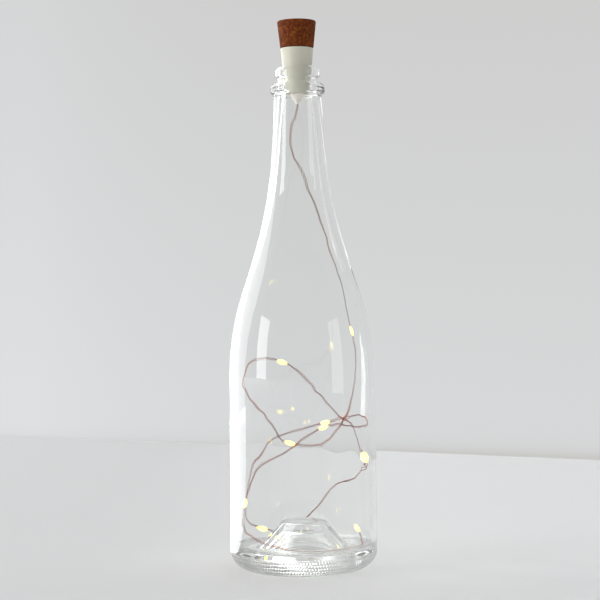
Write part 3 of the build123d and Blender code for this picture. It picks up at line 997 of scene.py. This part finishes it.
@dataclass
class CorkTop:
    """The tapered cork over the charging plug, bored from below for its liner.

    Only the outside has pits, a margin away from the bore and from the top
    downwards.
    """

    bottom: float = 0.3109
    top: float = 0.3268
    bottom_radius: float = 0.00995
    top_radius: float = 0.0117
    bore_radius: float = 0.00805
    bore_top: float = 0.32385
    granule_size: float = 0.0011
    border_share: float = 0.22
    pit_depth: float = 0.00018
    pit_least: float = 0.35
    pit_offset: float = 0.3
    pit_patch: float = 0.004
    bore_margin: float = 0.0004
    top_margin: float = 0.0005
    longest_run: float = 0.00022
    columns: int = 300

    def build(self, finish: bpy.types.Material) -> bpy.types.Object:
        """Turns the cork and presses its granules into the surface.

        Each point belongs to the nearest of many seeded granule centres. Near
        the border of two granules the surface sinks, by the difference of its
        distances to the nearest two, and deeper in some patches than in others.

        Args:
            finish: The cork's material.

        Returns:
            The cork.
        """
        # Each corner's radius and height, and the radius of the arc that rounds it
        corners = np.array(
            [
                (0.0, self.bore_top, 0.0),
                (self.bore_radius, self.bore_top, 0.0002),
                (self.bore_radius, self.bottom, 0.0003),
                (self.bottom_radius, self.bottom, 0.0005),
                (self.top_radius, self.top, 0.0008),
                (0.0, self.top, 0.0),
            ]
        )
        outline = even_steps(rounded_outline(corners), self.longest_run)
        grid = turned_grid(outline, self.columns)
        flat = grid.reshape(-1, 3)
        nearest, second, owner = self.granules(flat)
        border = np.clip(1 - (second - nearest) / (self.border_share * self.granule_size), 0, 1)
        tint = np.random.default_rng(5).uniform(0, 1, int(owner.max()) + 1)[owner]
        patches = np.clip(waves(flat, 8, self.pit_patch) + self.pit_offset, 0, 1)
        sunk = border**2 * (self.pit_least + (1 - self.pit_least) * patches)
        radius = np.hypot(flat[:, 0], flat[:, 1])
        outer = (radius > self.bore_radius + self.bore_margin) | (
            flat[:, 2] > self.top - self.top_margin
        )
        inward = np.array([0.0, 0.0, (self.bottom + self.top) / 2]) - flat
        inward /= np.maximum(np.linalg.norm(inward, axis=1), 1e-9)[:, None]
        moved = flat + inward * (sunk * self.pit_depth * outer)[:, None]
        shape = grid.shape[:2]
        # The gap attribute carries the sinking into the colour: the cork's darker gaps and painted
        # shade
        cork = turned_piece(
            "cork_top",
            moved.reshape(grid.shape),
            {"granule": tint.reshape(shape), "gap_and_shade": sunk.reshape(shape)},
        )
        dress(cork, finish, Body.CORK, "cork_cap")
        return cork

    def granules(self, points: np.ndarray) -> tuple[np.ndarray, np.ndarray, np.ndarray]:
        """The distances to the nearest two granule centres, and the nearest one's number.

        Centres stand on a jittered cubic lattice, so only the 27 round a
        point's own cell are compared.

        Args:
            points: One row of x, y, z for each point.

        Returns:
            The nearest distance, the second nearest, and the nearest centre's number.
        """
        size = self.granule_size
        low = points.min(0) - 2 * size
        counts = np.ceil((points.max(0) + 2 * size - low) / size).astype(int) + 1
        jitter = np.random.default_rng(3).uniform(0.05, 0.95, (*counts, 3))
        cell = np.floor((points - low) / size).astype(int)
        steps = np.stack(np.meshgrid([-1, 0, 1], [-1, 0, 1], [-1, 0, 1], indexing="ij"), -1)
        around = cell[:, None, :] + steps.reshape(1, 27, 3)
        centres = low + (around + jitter[around[..., 0], around[..., 1], around[..., 2]]) * size
        distance = np.linalg.norm(centres - points[:, None, :], axis=-1)
        order = np.argsort(distance, axis=1)[:, :2]
        line = np.arange(len(points))
        number = np.ravel_multi_index(np.moveaxis(around, -1, 0), tuple(counts))
        return distance[line, order[:, 0]], distance[line, order[:, 1]], number[line, order[:, 0]]


@dataclass
class LightString:
    """The twisted copper pair on its route, with a lit resin drop at each light."""

    diameter: float = 0.0008
    strand_radius: float = 0.00018
    closest: float = 0.00022
    widest: float = 0.0007
    opening_length: float = 0.020
    closed_end: float = 0.002
    shortest_twist: float = 0.004
    longest_twist: float = 0.008
    twist_length: float = 0.045
    kink: float = 0.00036
    kink_length: float = 0.010
    bow: float = 0.00045
    bow_length: float = 0.040
    straight_start: float = 0.006
    sample: float = 0.0003
    sides: int = 8
    lights: int = 9
    bead_length: float = 0.0068
    bead_radius: float = 0.00125
    bead_taper: float = 2.2
    bead_fullness: float = 0.4
    bead_aside: float = 0.00012
    bead_swell: float = 0.06
    swell_length: float = 0.003
    bead_rings: int = 25
    bead_columns: int = 24
    glow_reach: float = 0.62
    lamp_length: float = 0.0012
    lamp_radius: float = 0.00045
    lamp_rings: int = 9
    lamp_columns: int = 12

    def line(self) -> np.ndarray:
        """The smooth spline of the route.

        Returns:
            Its points, a sample apart.
        """
        curve = bpy.data.curves.new("string_line", "CURVE")
        curve.dimensions = "3D"
        curve.resolution_u = 24
        spline = curve.splines.new("NURBS")
        spline.points.add(len(ROUTE) - 1)
        spline.points.foreach_set("co", np.column_stack([ROUTE, np.ones(len(ROUTE))]).ravel())
        spline.order_u = 3
        spline.use_endpoint_u = True
        holder = bpy.data.objects.new("string_line", curve)
        bpy.context.scene.collection.objects.link(holder)
        mesh = bpy.data.meshes.new_from_object(holder)
        points = np.zeros(len(mesh.vertices) * 3)
        mesh.vertices.foreach_get("co", points)
        bpy.data.objects.remove(holder)
        bpy.data.curves.remove(curve)
        bpy.data.meshes.remove(mesh)
        return self.resampled(points.reshape(-1, 3))

    def resampled(self, points: np.ndarray) -> np.ndarray:
        """Spaces the points of a line evenly.

        Args:
            points: The line's points.

        Returns:
            Points at equal distances along the line, close to one sample apart.
        """
        run = np.linalg.norm(np.diff(points, axis=0), axis=1)
        along = np.concatenate([[0], np.cumsum(run)])
        places = np.linspace(0, along[-1], int(round(along[-1] / self.sample)) + 1)
        return np.stack([np.interp(places, along, points[:, axis]) for axis in range(3)], 1)

    @staticmethod
    def frames(points: np.ndarray) -> tuple[np.ndarray, np.ndarray, np.ndarray]:
        """Directions along and across a line that don't turn about it.

        A first set of directions comes from one fixed vector. Each step's turn
        about the line, against the least rotation between the two tangents, is
        measured, and the sum of these turns is taken out again.

        Args:
            points: The line's points.

        Returns:
            The tangent and two directions across, one row for each point.
        """
        fixed = np.array([0.57, 0.33, 0.75])
        tangent = np.gradient(points, axis=0)
        tangent /= np.linalg.norm(tangent, axis=1)[:, None]
        across = np.cross(tangent, fixed)
        across /= np.linalg.norm(across, axis=1)[:, None]
        other = np.cross(tangent, across)
        axis = np.cross(tangent[:-1], tangent[1:])
        cosine = (tangent[:-1] * tangent[1:]).sum(1)[:, None]
        once = np.cross(axis, across[:-1])
        carried = across[:-1] + once + np.cross(axis, once) / (1 + cosine)
        turn = np.arctan2((carried * other[1:]).sum(1), (carried * across[1:]).sum(1))
        angle = np.concatenate([[0], np.cumsum(turn)])[:, None]
        first = across * np.cos(angle) + other * np.sin(angle)
        return tangent, first, np.cross(tangent, first)

    @staticmethod
    def wave(along: np.ndarray, seed: int, longest: float) -> np.ndarray:
        """Smooth seeded unevenness along the wire, of about -1 to 1."""
        return waves(np.stack([along, 0 * along, 0 * along], 1), seed, longest)

    def wobbled(self, points: np.ndarray) -> np.ndarray:
        """Gives a line the small kinks and bows of a wire that was wound up before.

        Args:
            points: The line's points, a sample apart.

        Returns:
            The moved points. The start, where the wire leaves the gland, stays.
        """
        along = np.arange(len(points)) * self.sample
        ease = np.clip(along / self.straight_start, 0, 1)[:, None]
        kinks = np.stack([self.wave(along, seed, self.kink_length) for seed in (21, 22, 23)], 1)
        bows = np.stack([self.wave(along, seed, self.bow_length) for seed in (31, 32, 33)], 1)
        return points + (kinks * self.kink + bows * self.bow) * ease

    def varied(
        self, along: np.ndarray, seed: int, longest: float, least: float, most: float
    ) -> np.ndarray:
        """A size that changes smoothly along the wire.

        Args:
            along: Distances along the wire.
            seed: The seed of the change.
            longest: The change's longest wavelength.
            least: The least size.
            most: The greatest size.

        Returns:
            The size at each distance.
        """
        share = 0.5 + 0.5 * np.clip(self.wave(along, seed, longest), -1, 1)
        return least + (most - least) * share

    def strands(self, finish: bpy.types.Material) -> tuple[bpy.types.Object, np.ndarray]:
        """The two strands: tubes whose centres circle the line, a changing twist apart.

        The angle of the pair is the running sum of the sample over the twist's
        length. Each strand is a circle across the line about its own centre.

        Args:
            finish: The wire's material.

        Returns:
            The wire, and the line that it follows.
        """
        points = self.wobbled(self.line())
        _, first, second = self.frames(points)
        along = np.arange(len(points)) * self.sample
        twist = self.varied(along, 41, self.twist_length, self.shortest_twist, self.longest_twist)
        angle = np.cumsum(2 * math.pi * self.sample / twist)
        apart = self.varied(along, 42, self.opening_length, self.closest, self.widest)
        ends = np.clip(np.minimum(along, along[-1] - along) / self.closed_end, 0, 1)
        apart = self.closest + (apart - self.closest) * ends
        around = np.arange(self.sides) * 2 * math.pi / self.sides
        cos, sin = np.cos(around)[:, None], np.sin(around)[:, None]
        circle = first[:, None] * cos + second[:, None] * sin
        rows = []
        for side in (0.0, math.pi):
            toward = first * np.cos(angle + side)[:, None] + second * np.sin(angle + side)[:, None]
            centre = points + toward * apart[:, None]
            rows.append(centre[:, None] + circle * self.strand_radius)
        count = len(points)
        grid = np.stack(rows)
        tips = np.stack([grid[:, 0].mean(1), grid[:, -1].mean(1)], 1).reshape(-1, 3)
        quads = grid_quads(count, self.sides)
        ring = np.arange(self.sides)
        after = (ring + 1) % self.sides
        all_quads, all_caps = [], []
        for strand in (0, 1):
            base = strand * count * self.sides
            tip = 2 * count * self.sides + 2 * strand
            last = base + (count - 1) * self.sides
            all_quads.append(quads + base)
            all_caps.append(np.stack([np.full(self.sides, tip), base + after, base + ring], 1))
            all_caps.append(np.stack([last + ring, last + after, np.full(self.sides, tip + 1)], 1))
        wire = make_piece(
            "copper_wire",
            np.concatenate([grid.reshape(-1, 3), tips]),
            np.concatenate(all_quads),
            np.concatenate(all_caps),
        )
        wire.data.materials.append(finish)
        return wire, points

    @staticmethod
    def laid(grid: np.ndarray, centre: np.ndarray, axes: tuple[np.ndarray, ...]) -> np.ndarray:
        """Lays a grid turned about +Z on the wire, with its +Z along the tangent.

        Args:
            grid: The points, as an array of rows, columns and x, y, z.
            centre: The origin's place on the wire.
            axes: The wire's tangent there and two directions across.

        Returns:
            The points in their place.
        """
        tangent, first, second = axes
        return centre + grid[..., :1] * first + grid[..., 1:2] * second + grid[..., 2:] * tangent

    def drop(
        self, name: str, centre: np.ndarray, axes: tuple[np.ndarray, ...], seed: int
    ) -> bpy.types.Object:
        """One resin drop: a spindle along the wire that swells a little.

        The radius at a share u from -1 to 1 of half the length is the greatest
        radius times the fullness's power of one less the taper's power of u's
        size. The drop stands a little aside from the wire, and its glow falls
        off with u as a bell curve.

        Args:
            name: The drop's name.
            centre: Its centre, on the wire.
            axes: The wire's tangent there and two directions across.
            seed: The seed of its unevenness.

        Returns:
            The drop.
        """
        u = np.cos(np.linspace(math.pi, 0, self.bead_rings))
        hump = np.clip(1 - np.abs(u) ** self.bead_taper, 0, 1) ** self.bead_fullness
        outline = np.stack([self.bead_radius * hump, u * self.bead_length / 2], 1)
        grid = turned_grid(outline, self.bead_columns)
        grid[..., :2] += self.bead_aside * math.sin(1.3 * seed)
        lump = 1 + self.bead_swell * waves(grid, seed, self.swell_length)
        grid[..., :2] *= lump[..., None]
        glow = np.exp(-((u / self.glow_reach) ** 2))[:, None] * np.ones(self.bead_columns)
        return turned_piece(name, self.laid(grid, centre, axes), {"glow": glow})

    def lamp(self, name: str, centre: np.ndarray, axes: tuple[np.ndarray, ...]) -> bpy.types.Object:
        """The lit lamp inside a drop: a small ellipsoid along the wire.

        Args:
            name: The lamp's name.
            centre: Its centre, on the wire.
            axes: The wire's tangent there and two directions across.

        Returns:
            The lamp.
        """
        u = np.cos(np.linspace(math.pi, 0, self.lamp_rings))
        radius = self.lamp_radius * np.sqrt(np.clip(1 - u**2, 0, 1))
        outline = np.stack([radius, u * self.lamp_length / 2], 1)
        grid = turned_grid(outline, self.lamp_columns)
        return turned_piece(name, self.laid(grid, centre, axes), {"glow": np.ones(grid.shape[:2])})

    def build(
        self, copper: bpy.types.Material, resin: bpy.types.Material, lit: bpy.types.Material
    ) -> list[bpy.types.Object]:
        """Makes the wire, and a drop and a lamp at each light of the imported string.

        Args:
            copper: The wire's material.
            resin: The drops' material.
            lit: The lamps' material.

        Returns:
            The wire, the drops and the lamps.
        """
        wire, points = self.strands(copper)
        tangent, first, second = self.frames(points)
        pieces = []
        for number in range(1, self.lights + 1):
            node = f"led_bead_{number}"
            low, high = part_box(node)
            middle = (np.array(low) + np.array(high)) / 2
            nearest = int(np.argmin(np.linalg.norm(points - middle, axis=1)))
            axes = (tangent[nearest], first[nearest], second[nearest])
            bead = self.drop(f"resin_drop_{number}", points[nearest], axes, number)
            dress(bead, resin, Body.BOTTLE, node)
            lamp = self.lamp(f"lamp_{number}", points[nearest], axes)
            dress(lamp, lit, Body.BOTTLE, "led_chips")
            pieces += [bead, lamp]
        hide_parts("light_string")
        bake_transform(wire)
        run = float(np.linalg.norm(np.diff(points, axis=0), axis=1).sum())
        LOG.info("copper_wire runs for %.3f m", run)
        return [wire, *pieces]


@dataclass
class Stopper:
    """The stopper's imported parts, each with its own finish."""

    groups: Groups

    def finishes(self) -> dict[str, bpy.types.Material]:
        """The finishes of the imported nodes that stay.

        Returns:
            Each node's material.
        """
        white = Moulded("white_plastic", tone(213, 210, 193), roughness=0.46, swing=0.03)
        cream = Moulded("gland_rubber", tone(255, 248, 236), roughness=0.35, swing=0.03)
        liner = Moulded("liner_plastic", tone(48, 48, 50), roughness=0.5)
        board = Moulded(
            "board_mask", tone(22, 92, 52), roughness=0.3, swing=0.25, scale=350.0, coat=0.4
        )
        steel = Plated("plug_steel", tone(205, 206, 208), roughness=0.24)
        tongue = Moulded("tongue_plastic", tone(238, 238, 234), roughness=0.4, swing=0.03)
        gilt = Plated("gilt_contacts", tone(232, 190, 110), roughness=0.22)
        case = Plated("switch_case", tone(184, 185, 188), roughness=0.34)
        knob = Moulded("knob_plastic", tone(38, 38, 40), roughness=0.5)
        lamp = Moulded("charge_lamp", tone(240, 236, 220), roughness=0.25, swing=0.04, coat=0.5)
        pipe = Moulded(
            "light_pipe", tone(238, 242, 242), roughness=0.1, swing=0.0, transmission=0.9
        )
        chip = Moulded("chip_plastic", tone(34, 34, 36), roughness=0.55)
        cell = Plated("cell_can", tone(196, 197, 200), roughness=0.3, stretch=(0.1, 0.1, 1.0))
        sleeve = Moulded("cell_sleeve", tone(52, 96, 168), roughness=0.25, swing=0.05, coat=0.5)
        nickel = Plated("nickel_strip", tone(206, 203, 196), roughness=0.3)
        lead = Moulded("lead_insulation", tone(178, 44, 36), roughness=0.35, swing=0.06, coat=0.3)
        foam = Moulded(
            "foam_pad", tone(84, 84, 86), roughness=0.9, swing=0.5, scale=2200.0, bump=0.00015
        )
        dressed = {
            "plug_body": white,
            "nose_cup": white,
            "wire_gland": cream,
            "cap_liner": liner,
            "circuit_board": board,
            "usb_shell": steel,
            "usb_tongue": tongue,
            "usb_contacts": gilt,
            "slide_switch": case,
            "switch_knob": knob,
            "charge_light": lamp,
            "light_pipe": pipe,
            "charge_chip": chip,
            "board_parts": chip,
            "battery_cell": cell,
            "cell_sleeve": sleeve,
            "cell_tabs": nickel,
            "cell_leads": lead,
            "cell_pad": foam,
            "string_leads": lead,
        }
        made = {finish.name: finish.make(self.groups) for finish in dressed.values()}
        return {node: made[finish.name] for node, finish in dressed.items()}

    def dress(self, nodes: dict[str, bpy.types.Object]) -> list[bpy.types.Object]:
        """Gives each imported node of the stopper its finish.

        Args:
            nodes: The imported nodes, by name.

        Returns:
            The nodes that were dressed.
        """
        finishes = self.finishes()
        for node, material in finishes.items():
            for place in nodes[node].material_slots:
                place.material = material
        return [nodes[node] for node in finishes]


# The studio


@dataclass(frozen=True)
class Lamp:
    """A rectangular lamp that faces the bottle's middle.

    The bearing is in degrees to the left of the camera's own direction from the
    bottle, and the elevation in degrees above the bottle's middle. The distance,
    and the size, which is a width and a height, are in metres, and the power is
    in watts.
    """

    name: str
    seen: Seen
    bearing: float
    elevation: float
    distance: float
    size: tuple[float, float]
    power: float

    def hang(self, middle: float) -> None:
        """Adds the lamp to the scene, where it shows in one kind of surface alone.

        Args:
            middle: The height of the bottle's middle.
        """
        data = bpy.data.lights.new(self.name, "AREA")
        data.shape = "RECTANGLE"
        data.size, data.size_y = self.size
        data.energy = self.power
        lamp = bpy.data.objects.new(self.name, data)
        bpy.context.scene.collection.objects.link(lamp)
        turn, rise = math.radians(self.bearing), math.radians(self.elevation)
        away = np.array(
            [-math.sin(turn) * math.cos(rise), -math.cos(turn) * math.cos(rise), math.sin(rise)]
        )
        across = np.cross(np.array([0.0, 0.0, 1.0]), away)
        across /= np.linalg.norm(across)
        matrix = np.eye(4)
        matrix[:3, 0], matrix[:3, 1], matrix[:3, 2] = across, np.cross(away, across), away
        matrix[:3, 3] = np.array([0.0, 0.0, middle]) + away * self.distance
        lamp.matrix_world = Matrix(matrix.tolist())
        lamp.visible_camera = False
        lamp.visible_diffuse = self.seen is Seen.MATT
        lamp.visible_glossy = self.seen is Seen.GLOSS
        lamp.visible_transmission = self.seen is Seen.GLASS


@dataclass
class Studio:
    """The pale floor and wall, the windows and soft light, and the camera.

    The wall stands at a turn behind the bottle, and the floor goes from its
    foot to a line far in front.
    """

    lens: float = 95.19
    place: tuple[float, float, float] = (-0.0003, -0.950, 0.1692)
    pitch: float = math.radians(0.5417)
    roll: float = math.radians(0.836)
    wall_distance: float = 0.70
    wall_turn: float = math.radians(29)
    wall_left: float = -3.0
    wall_right: float = 1.1
    wall_height: float = 2.4
    wall_columns: int = 83
    wall_rows: int = 49
    floor_front: float = -8.0
    floor_spread: float = 5.0
    floor_rows: int = 121
    # The ends of the wall's and floor's painted light and shade
    wall_dark: Colour = (0.585, 0.58, 0.57, 1.0)
    wall_light: Colour = (0.735, 0.75, 0.765, 1.0)
    wall_plain: Colour = (0.8, 0.8, 0.8, 1.0)
    floor_dark: Colour = (0.68, 0.68, 0.685, 1.0)
    floor_light: Colour = (0.93, 0.93, 0.935, 1.0)
    surround: Colour = (0.985, 0.995, 1.0, 1.0)
    backdrop: float = 0.67
    room: float = 0.42
    ambient: float = 0.53
    glare_colour: Colour = (0.97, 0.985, 1.0, 1.0)
    glare_strength: float = 4.5
    glare_lift: float = 0.0006
    glass_bounces: int = 24
    gloss_bounces: int = 12
    middle: float = 0.15
    lamps: tuple[Lamp, ...] = (
        # Name, what it shows in, bearing, elevation, distance, size and power
        Lamp("soft_key", Seen.MATT, 75, 25, 5.0, (3.6, 3.0), 148.0),
        Lamp("tall_window", Seen.GLOSS, 124.5, 24, 0.84, (0.96, 1.10), 9.0),
        Lamp("roof_window", Seen.GLASS, 124.5, 52, 0.95, (1.05, 0.62), 10.5),
        Lamp("window_gap", Seen.GLASS, 146, 24, 0.88, (0.12, 1.10), 1.4),
        Lamp("far_window", Seen.GLOSS, 65, 9.5, 1.7, (0.54, 0.70), 7.0),
        Lamp("right_window", Seen.GLOSS, -57, 6, 1.7, (0.60, 0.90), 3.6),
    )

    def camera(self) -> None:
        """A long lens at the photograph's height and tilt."""
        data = bpy.data.cameras.new("view")
        data.lens = self.lens
        data.sensor_width = 36.0
        data.clip_start, data.clip_end = 0.05, 50.0
        eye = bpy.data.objects.new("view", data)
        bpy.context.scene.collection.objects.link(eye)
        forward = np.array([0.0, math.cos(self.pitch), -math.sin(self.pitch)])
        level = np.array([1.0, 0.0, 0.0])
        upright = np.cross(level, forward)
        up = upright * math.cos(self.roll) + level * math.sin(self.roll)
        right = np.cross(forward, up)
        matrix = np.eye(4)
        matrix[:3, 0], matrix[:3, 1], matrix[:3, 2] = right, up, -forward
        matrix[:3, 3] = self.place
        eye.matrix_world = Matrix(matrix.tolist())
        bpy.context.scene.camera = eye

    @staticmethod
    def looking(wiring: Wiring) -> bpy.types.NodeSocket:
        """A mask of the rays that show a surface directly, in gloss or through glass.

        Args:
            wiring: The wiring of a material or of the world.

        Returns:
            One for these rays, and zero for the others.
        """
        path = wiring.add("ShaderNodeLightPath").outputs
        direct = wiring.maths("ADD", path["Is Camera Ray"], path["Is Glossy Ray"])
        rays = wiring.maths("ADD", direct, path["Is Transmission Ray"])
        return wiring.maths("MINIMUM", rays, 1.0)

    def world(self) -> None:
        """A pale surround, darker towards the room in front of the bottle where it is seen."""
        world = bpy.data.worlds.new("studio")
        world.use_nodes = True
        bpy.context.scene.world = world
        wiring = Wiring(world.node_tree)
        seen = self.looking(wiring)
        toward = wiring.add("ShaderNodeTexCoord").outputs["Generated"]
        depth = wiring.add("ShaderNodeSeparateXYZ", {0: toward}).outputs["Y"]
        behind = wiring.add(
            "ShaderNodeMapRange",
            {
                "Value": depth,
                "From Min": -0.6,
                "From Max": 0.5,
                "To Min": self.room - self.ambient,
                "To Max": self.backdrop - self.ambient,
            },
            interpolation_type="SMOOTHSTEP",
        ).outputs[0]
        level = wiring.maths("ADD", wiring.maths("MULTIPLY", seen, behind), self.ambient)
        light = wiring.add("ShaderNodeBackground", {"Color": self.surround, "Strength": level})
        wiring.add("ShaderNodeOutputWorld", {"Surface": light.outputs[0]})

    @staticmethod
    def one_sided(wiring: Wiring, front: bpy.types.NodeSocket) -> None:
        """Joins a surface to the output so that it isn't seen from behind.

        Args:
            wiring: The material's wiring.
            front: The shader of the front.
        """
        clear = wiring.add("ShaderNodeBsdfTransparent")
        behind = wiring.add("ShaderNodeNewGeometry").outputs["Backfacing"]
        mix = wiring.add("ShaderNodeMixShader", {0: behind, 1: front, 2: clear.outputs[0]})
        wiring.add("ShaderNodeOutputMaterial", {"Surface": mix.outputs[0]})

    @staticmethod
    def shaded(wiring: Wiring, darkest: Colour, lightest: Colour) -> bpy.types.NodeSocket:
        """The colour between two that the mesh's own shade attribute gives."""
        shade = wiring.add("ShaderNodeAttribute", attribute_name="shade").outputs["Fac"]
        return wiring.ramp(shade, ((0.0, darkest), (1.0, lightest)))

    def floor_finish(self) -> bpy.types.Material:
        """Makes the floor's matt paint.

        Returns:
            The finished material.
        """
        material, wiring = start_material("pale_floor")
        # The shade attribute paints light and shade into the floor's colour
        colour = self.shaded(wiring, self.floor_dark, self.floor_light)
        paint = wiring.add("ShaderNodeBsdfDiffuse", {"Color": colour})
        self.one_sided(wiring, paint.outputs[0])
        return material

    def wall_finish(self) -> bpy.types.Material:
        """Makes the wall's finish, at a level of its own where it is seen.

        Returns:
            The finished material.
        """
        material, wiring = start_material("pale_wall")
        seen = self.looking(wiring)
        # The shade attribute paints light, shade and a contact shadow into the wall's glow
        glow = self.shaded(wiring, self.wall_dark, self.wall_light)
        lit = wiring.add("ShaderNodeEmission", {"Color": glow, "Strength": 1.0})
        plain = wiring.add("ShaderNodeBsdfDiffuse", {"Color": self.wall_plain})
        both = wiring.add("ShaderNodeMixShader", {0: seen, 1: plain.outputs[0], 2: lit.outputs[0]})
        self.one_sided(wiring, both.outputs[0])
        return material

    def columns(self) -> np.ndarray:
        """Distances along the wall, to the right of the point behind the bottle."""
        return np.linspace(self.wall_left, self.wall_right, self.wall_columns)

    def wall_point(self, along: np.ndarray) -> np.ndarray:
        """Finds the wall's foot.

        Args:
            along: Distances along it, to the right of the point behind the bottle.

        Returns:
            The x and y of each.
        """
        x = along * math.cos(self.wall_turn)
        y = self.wall_distance - along * math.sin(self.wall_turn)
        return np.stack([x, y], -1)

    @staticmethod
    def stand(
        name: str,
        points: np.ndarray,
        quads: np.ndarray,
        shade: np.ndarray,
        finish: bpy.types.Material,
    ) -> None:
        """Adds a sheet to the stage.

        Args:
            name: The sheet's name.
            points: Its points, as an array of rows, columns and x, y, z.
            quads: One row of four vertex numbers for each face.
            shade: Its shade at each point.
            finish: Its material.
        """
        triangles = np.zeros((0, 3), int)
        sheet = make_piece(name, points.reshape(-1, 3), quads, triangles, {"shade": shade})
        sheet.data.materials.append(finish)

    def wall(self) -> None:
        """The turned wall, with painted light: lightest at the left and low down, with a painted
        contact shadow at the floor.

        Its shade is painted light and shade: a middle value, plus a falling
        exponential of the distance along it for the light at the left, less a
        straight fall over the height, less a painted contact shadow, a falling
        exponential of the height whose size grows to the right.
        """
        middle, crowding = 0.50, 2.6
        left_light, left_end, left_length = 0.36, -0.34, 0.16
        high_dark, high_from, high_length = 0.26, 0.16, 0.28
        contact_shadow_dark, contact_shadow_swing, contact_shadow_width, contact_shadow_height = 0.55, 0.35, 0.3, 0.006
        along, up = np.meshgrid(
            self.columns(),
            self.wall_height * np.linspace(0, 1, self.wall_rows) ** crowding,
            indexing="ij",
        )
        points = np.concatenate([self.wall_point(along), up[..., None]], -1)
        # Painted light at the left, painted shade higher up, and a painted contact shadow at the
        # floor
        left = left_light * np.clip(np.exp((left_end - along) / left_length), 0, 1)
        high = -high_dark * np.clip((up - high_from) / high_length, -0.4, 1.5)
        depth = contact_shadow_dark + contact_shadow_swing * np.clip(along / contact_shadow_width, -1, 1)
        contact_shadow = -depth * np.exp(-up / contact_shadow_height)
        shade = np.clip(middle + left + high + contact_shadow, 0, 1)
        quads = grid_quads(self.wall_columns, self.wall_rows, closed=False)[:, ::-1]
        self.stand("wall", points, quads, shade, self.wall_finish())

    def floor(self) -> None:
        """The wide floor up to the wall's foot, painted lighter at the right, with painted shade in
        front of the bottle.

        Its painted light is a straight rise to the right across the bottle's place,
        which evens out the soft key's fall, less painted shade that comes in over a
        short way in front of the bottle.
        """
        lowest, right_light, near_dark = 0.36, 0.47, 0.30
        right_from, right_length, near_length = -0.13, 0.20, 0.05
        along, share = np.meshgrid(
            self.columns(), np.linspace(0, 1, self.floor_rows) ** 2, indexing="ij"
        )
        share = share[..., None]
        front = np.stack([self.floor_spread * along, 0 * along + self.floor_front], -1)
        level = self.wall_point(along) * (1 - share) + front * share
        points = np.concatenate([level, 0 * share], -1)
        # Painted light rising to the right, and painted shade in front of the bottle at the right
        right = np.clip((level[..., 0] - right_from) / right_length, 0, 1)
        near = np.clip(-level[..., 1] / near_length, 0, 1)
        shade = lowest + right_light * right - near_dark * near * right
        quads = grid_quads(self.wall_columns, self.floor_rows, closed=False)
        self.stand("floor", points, quads, shade, self.floor_finish())

    def glare(self) -> None:
        """The window's glare on the floor, left of the bottle, which only gloss shows."""
        finish, wiring = start_material("floor_glare")
        light = wiring.add(
            "ShaderNodeEmission", {"Color": self.glare_colour, "Strength": self.glare_strength}
        )
        self.one_sided(wiring, light.outputs[0])
        corners = [(-0.032, 0.075), (-0.56, 1.20), (-1.35, 0.14), (-0.080, 0.020)]
        points = np.column_stack([corners, np.full(4, self.glare_lift)])
        sheet = make_piece("floor_glare", points, np.array([[0, 1, 2, 3]]), np.zeros((0, 3), int))
        sheet.data.materials.append(finish)
        sheet.visible_camera = False
        sheet.visible_diffuse = False
        sheet.visible_transmission = False
        sheet.visible_shadow = False

    def build(self) -> None:
        """Sets the stage, the lamps and the camera, with enough bounces for the glass."""
        scene = bpy.context.scene
        scene.view_settings.view_transform = "Standard"
        scene.cycles.max_bounces = self.glass_bounces
        scene.cycles.transmission_bounces = self.glass_bounces
        scene.cycles.transparent_max_bounces = self.glass_bounces
        scene.cycles.glossy_bounces = self.gloss_bounces
        scene.cycles.caustics_refractive = True
        self.camera()
        self.world()
        self.wall()
        self.floor()
        self.glare()
        for lamp in self.lamps:
            lamp.hang(self.middle)


def main() -> None:
    """Builds the bottle, the cork, the stopper and the string, then the studio."""
    logging.basicConfig(level=logging.INFO, format="%(name)s %(message)s")
    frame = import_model()
    groups = Groups(grain_group(), stipple_group())
    copper = Plated(
        "copper_wire",
        tone(148, 66, 30),
        roughness=0.14,
        swing=0.6,
        stretch=(1.0, 1.0, 1.0),
        edge=(0.52, 0.29, 0.18, 1.0),
    )
    resin, lit_lamp = LitResin(), LitResin("lit_lamp", rim=WARM_LIGHT)
    pieces = [
        GlassBottle().build(BottleGlass().make(groups)),
        CorkTop().build(Cork().make()),
        *Stopper(groups).dress(frame["nodes"]),
        *LightString().build(copper.make(groups), resin.make(), lit_lamp.make()),
    ]
    for piece in pieces:
        finish = piece.material_slots[0].material.name
        LOG.info("%s: %s, %d faces", piece.name, finish, len(piece.data.polygons))
    Studio().build()


if __name__ == "__main__":
    main()
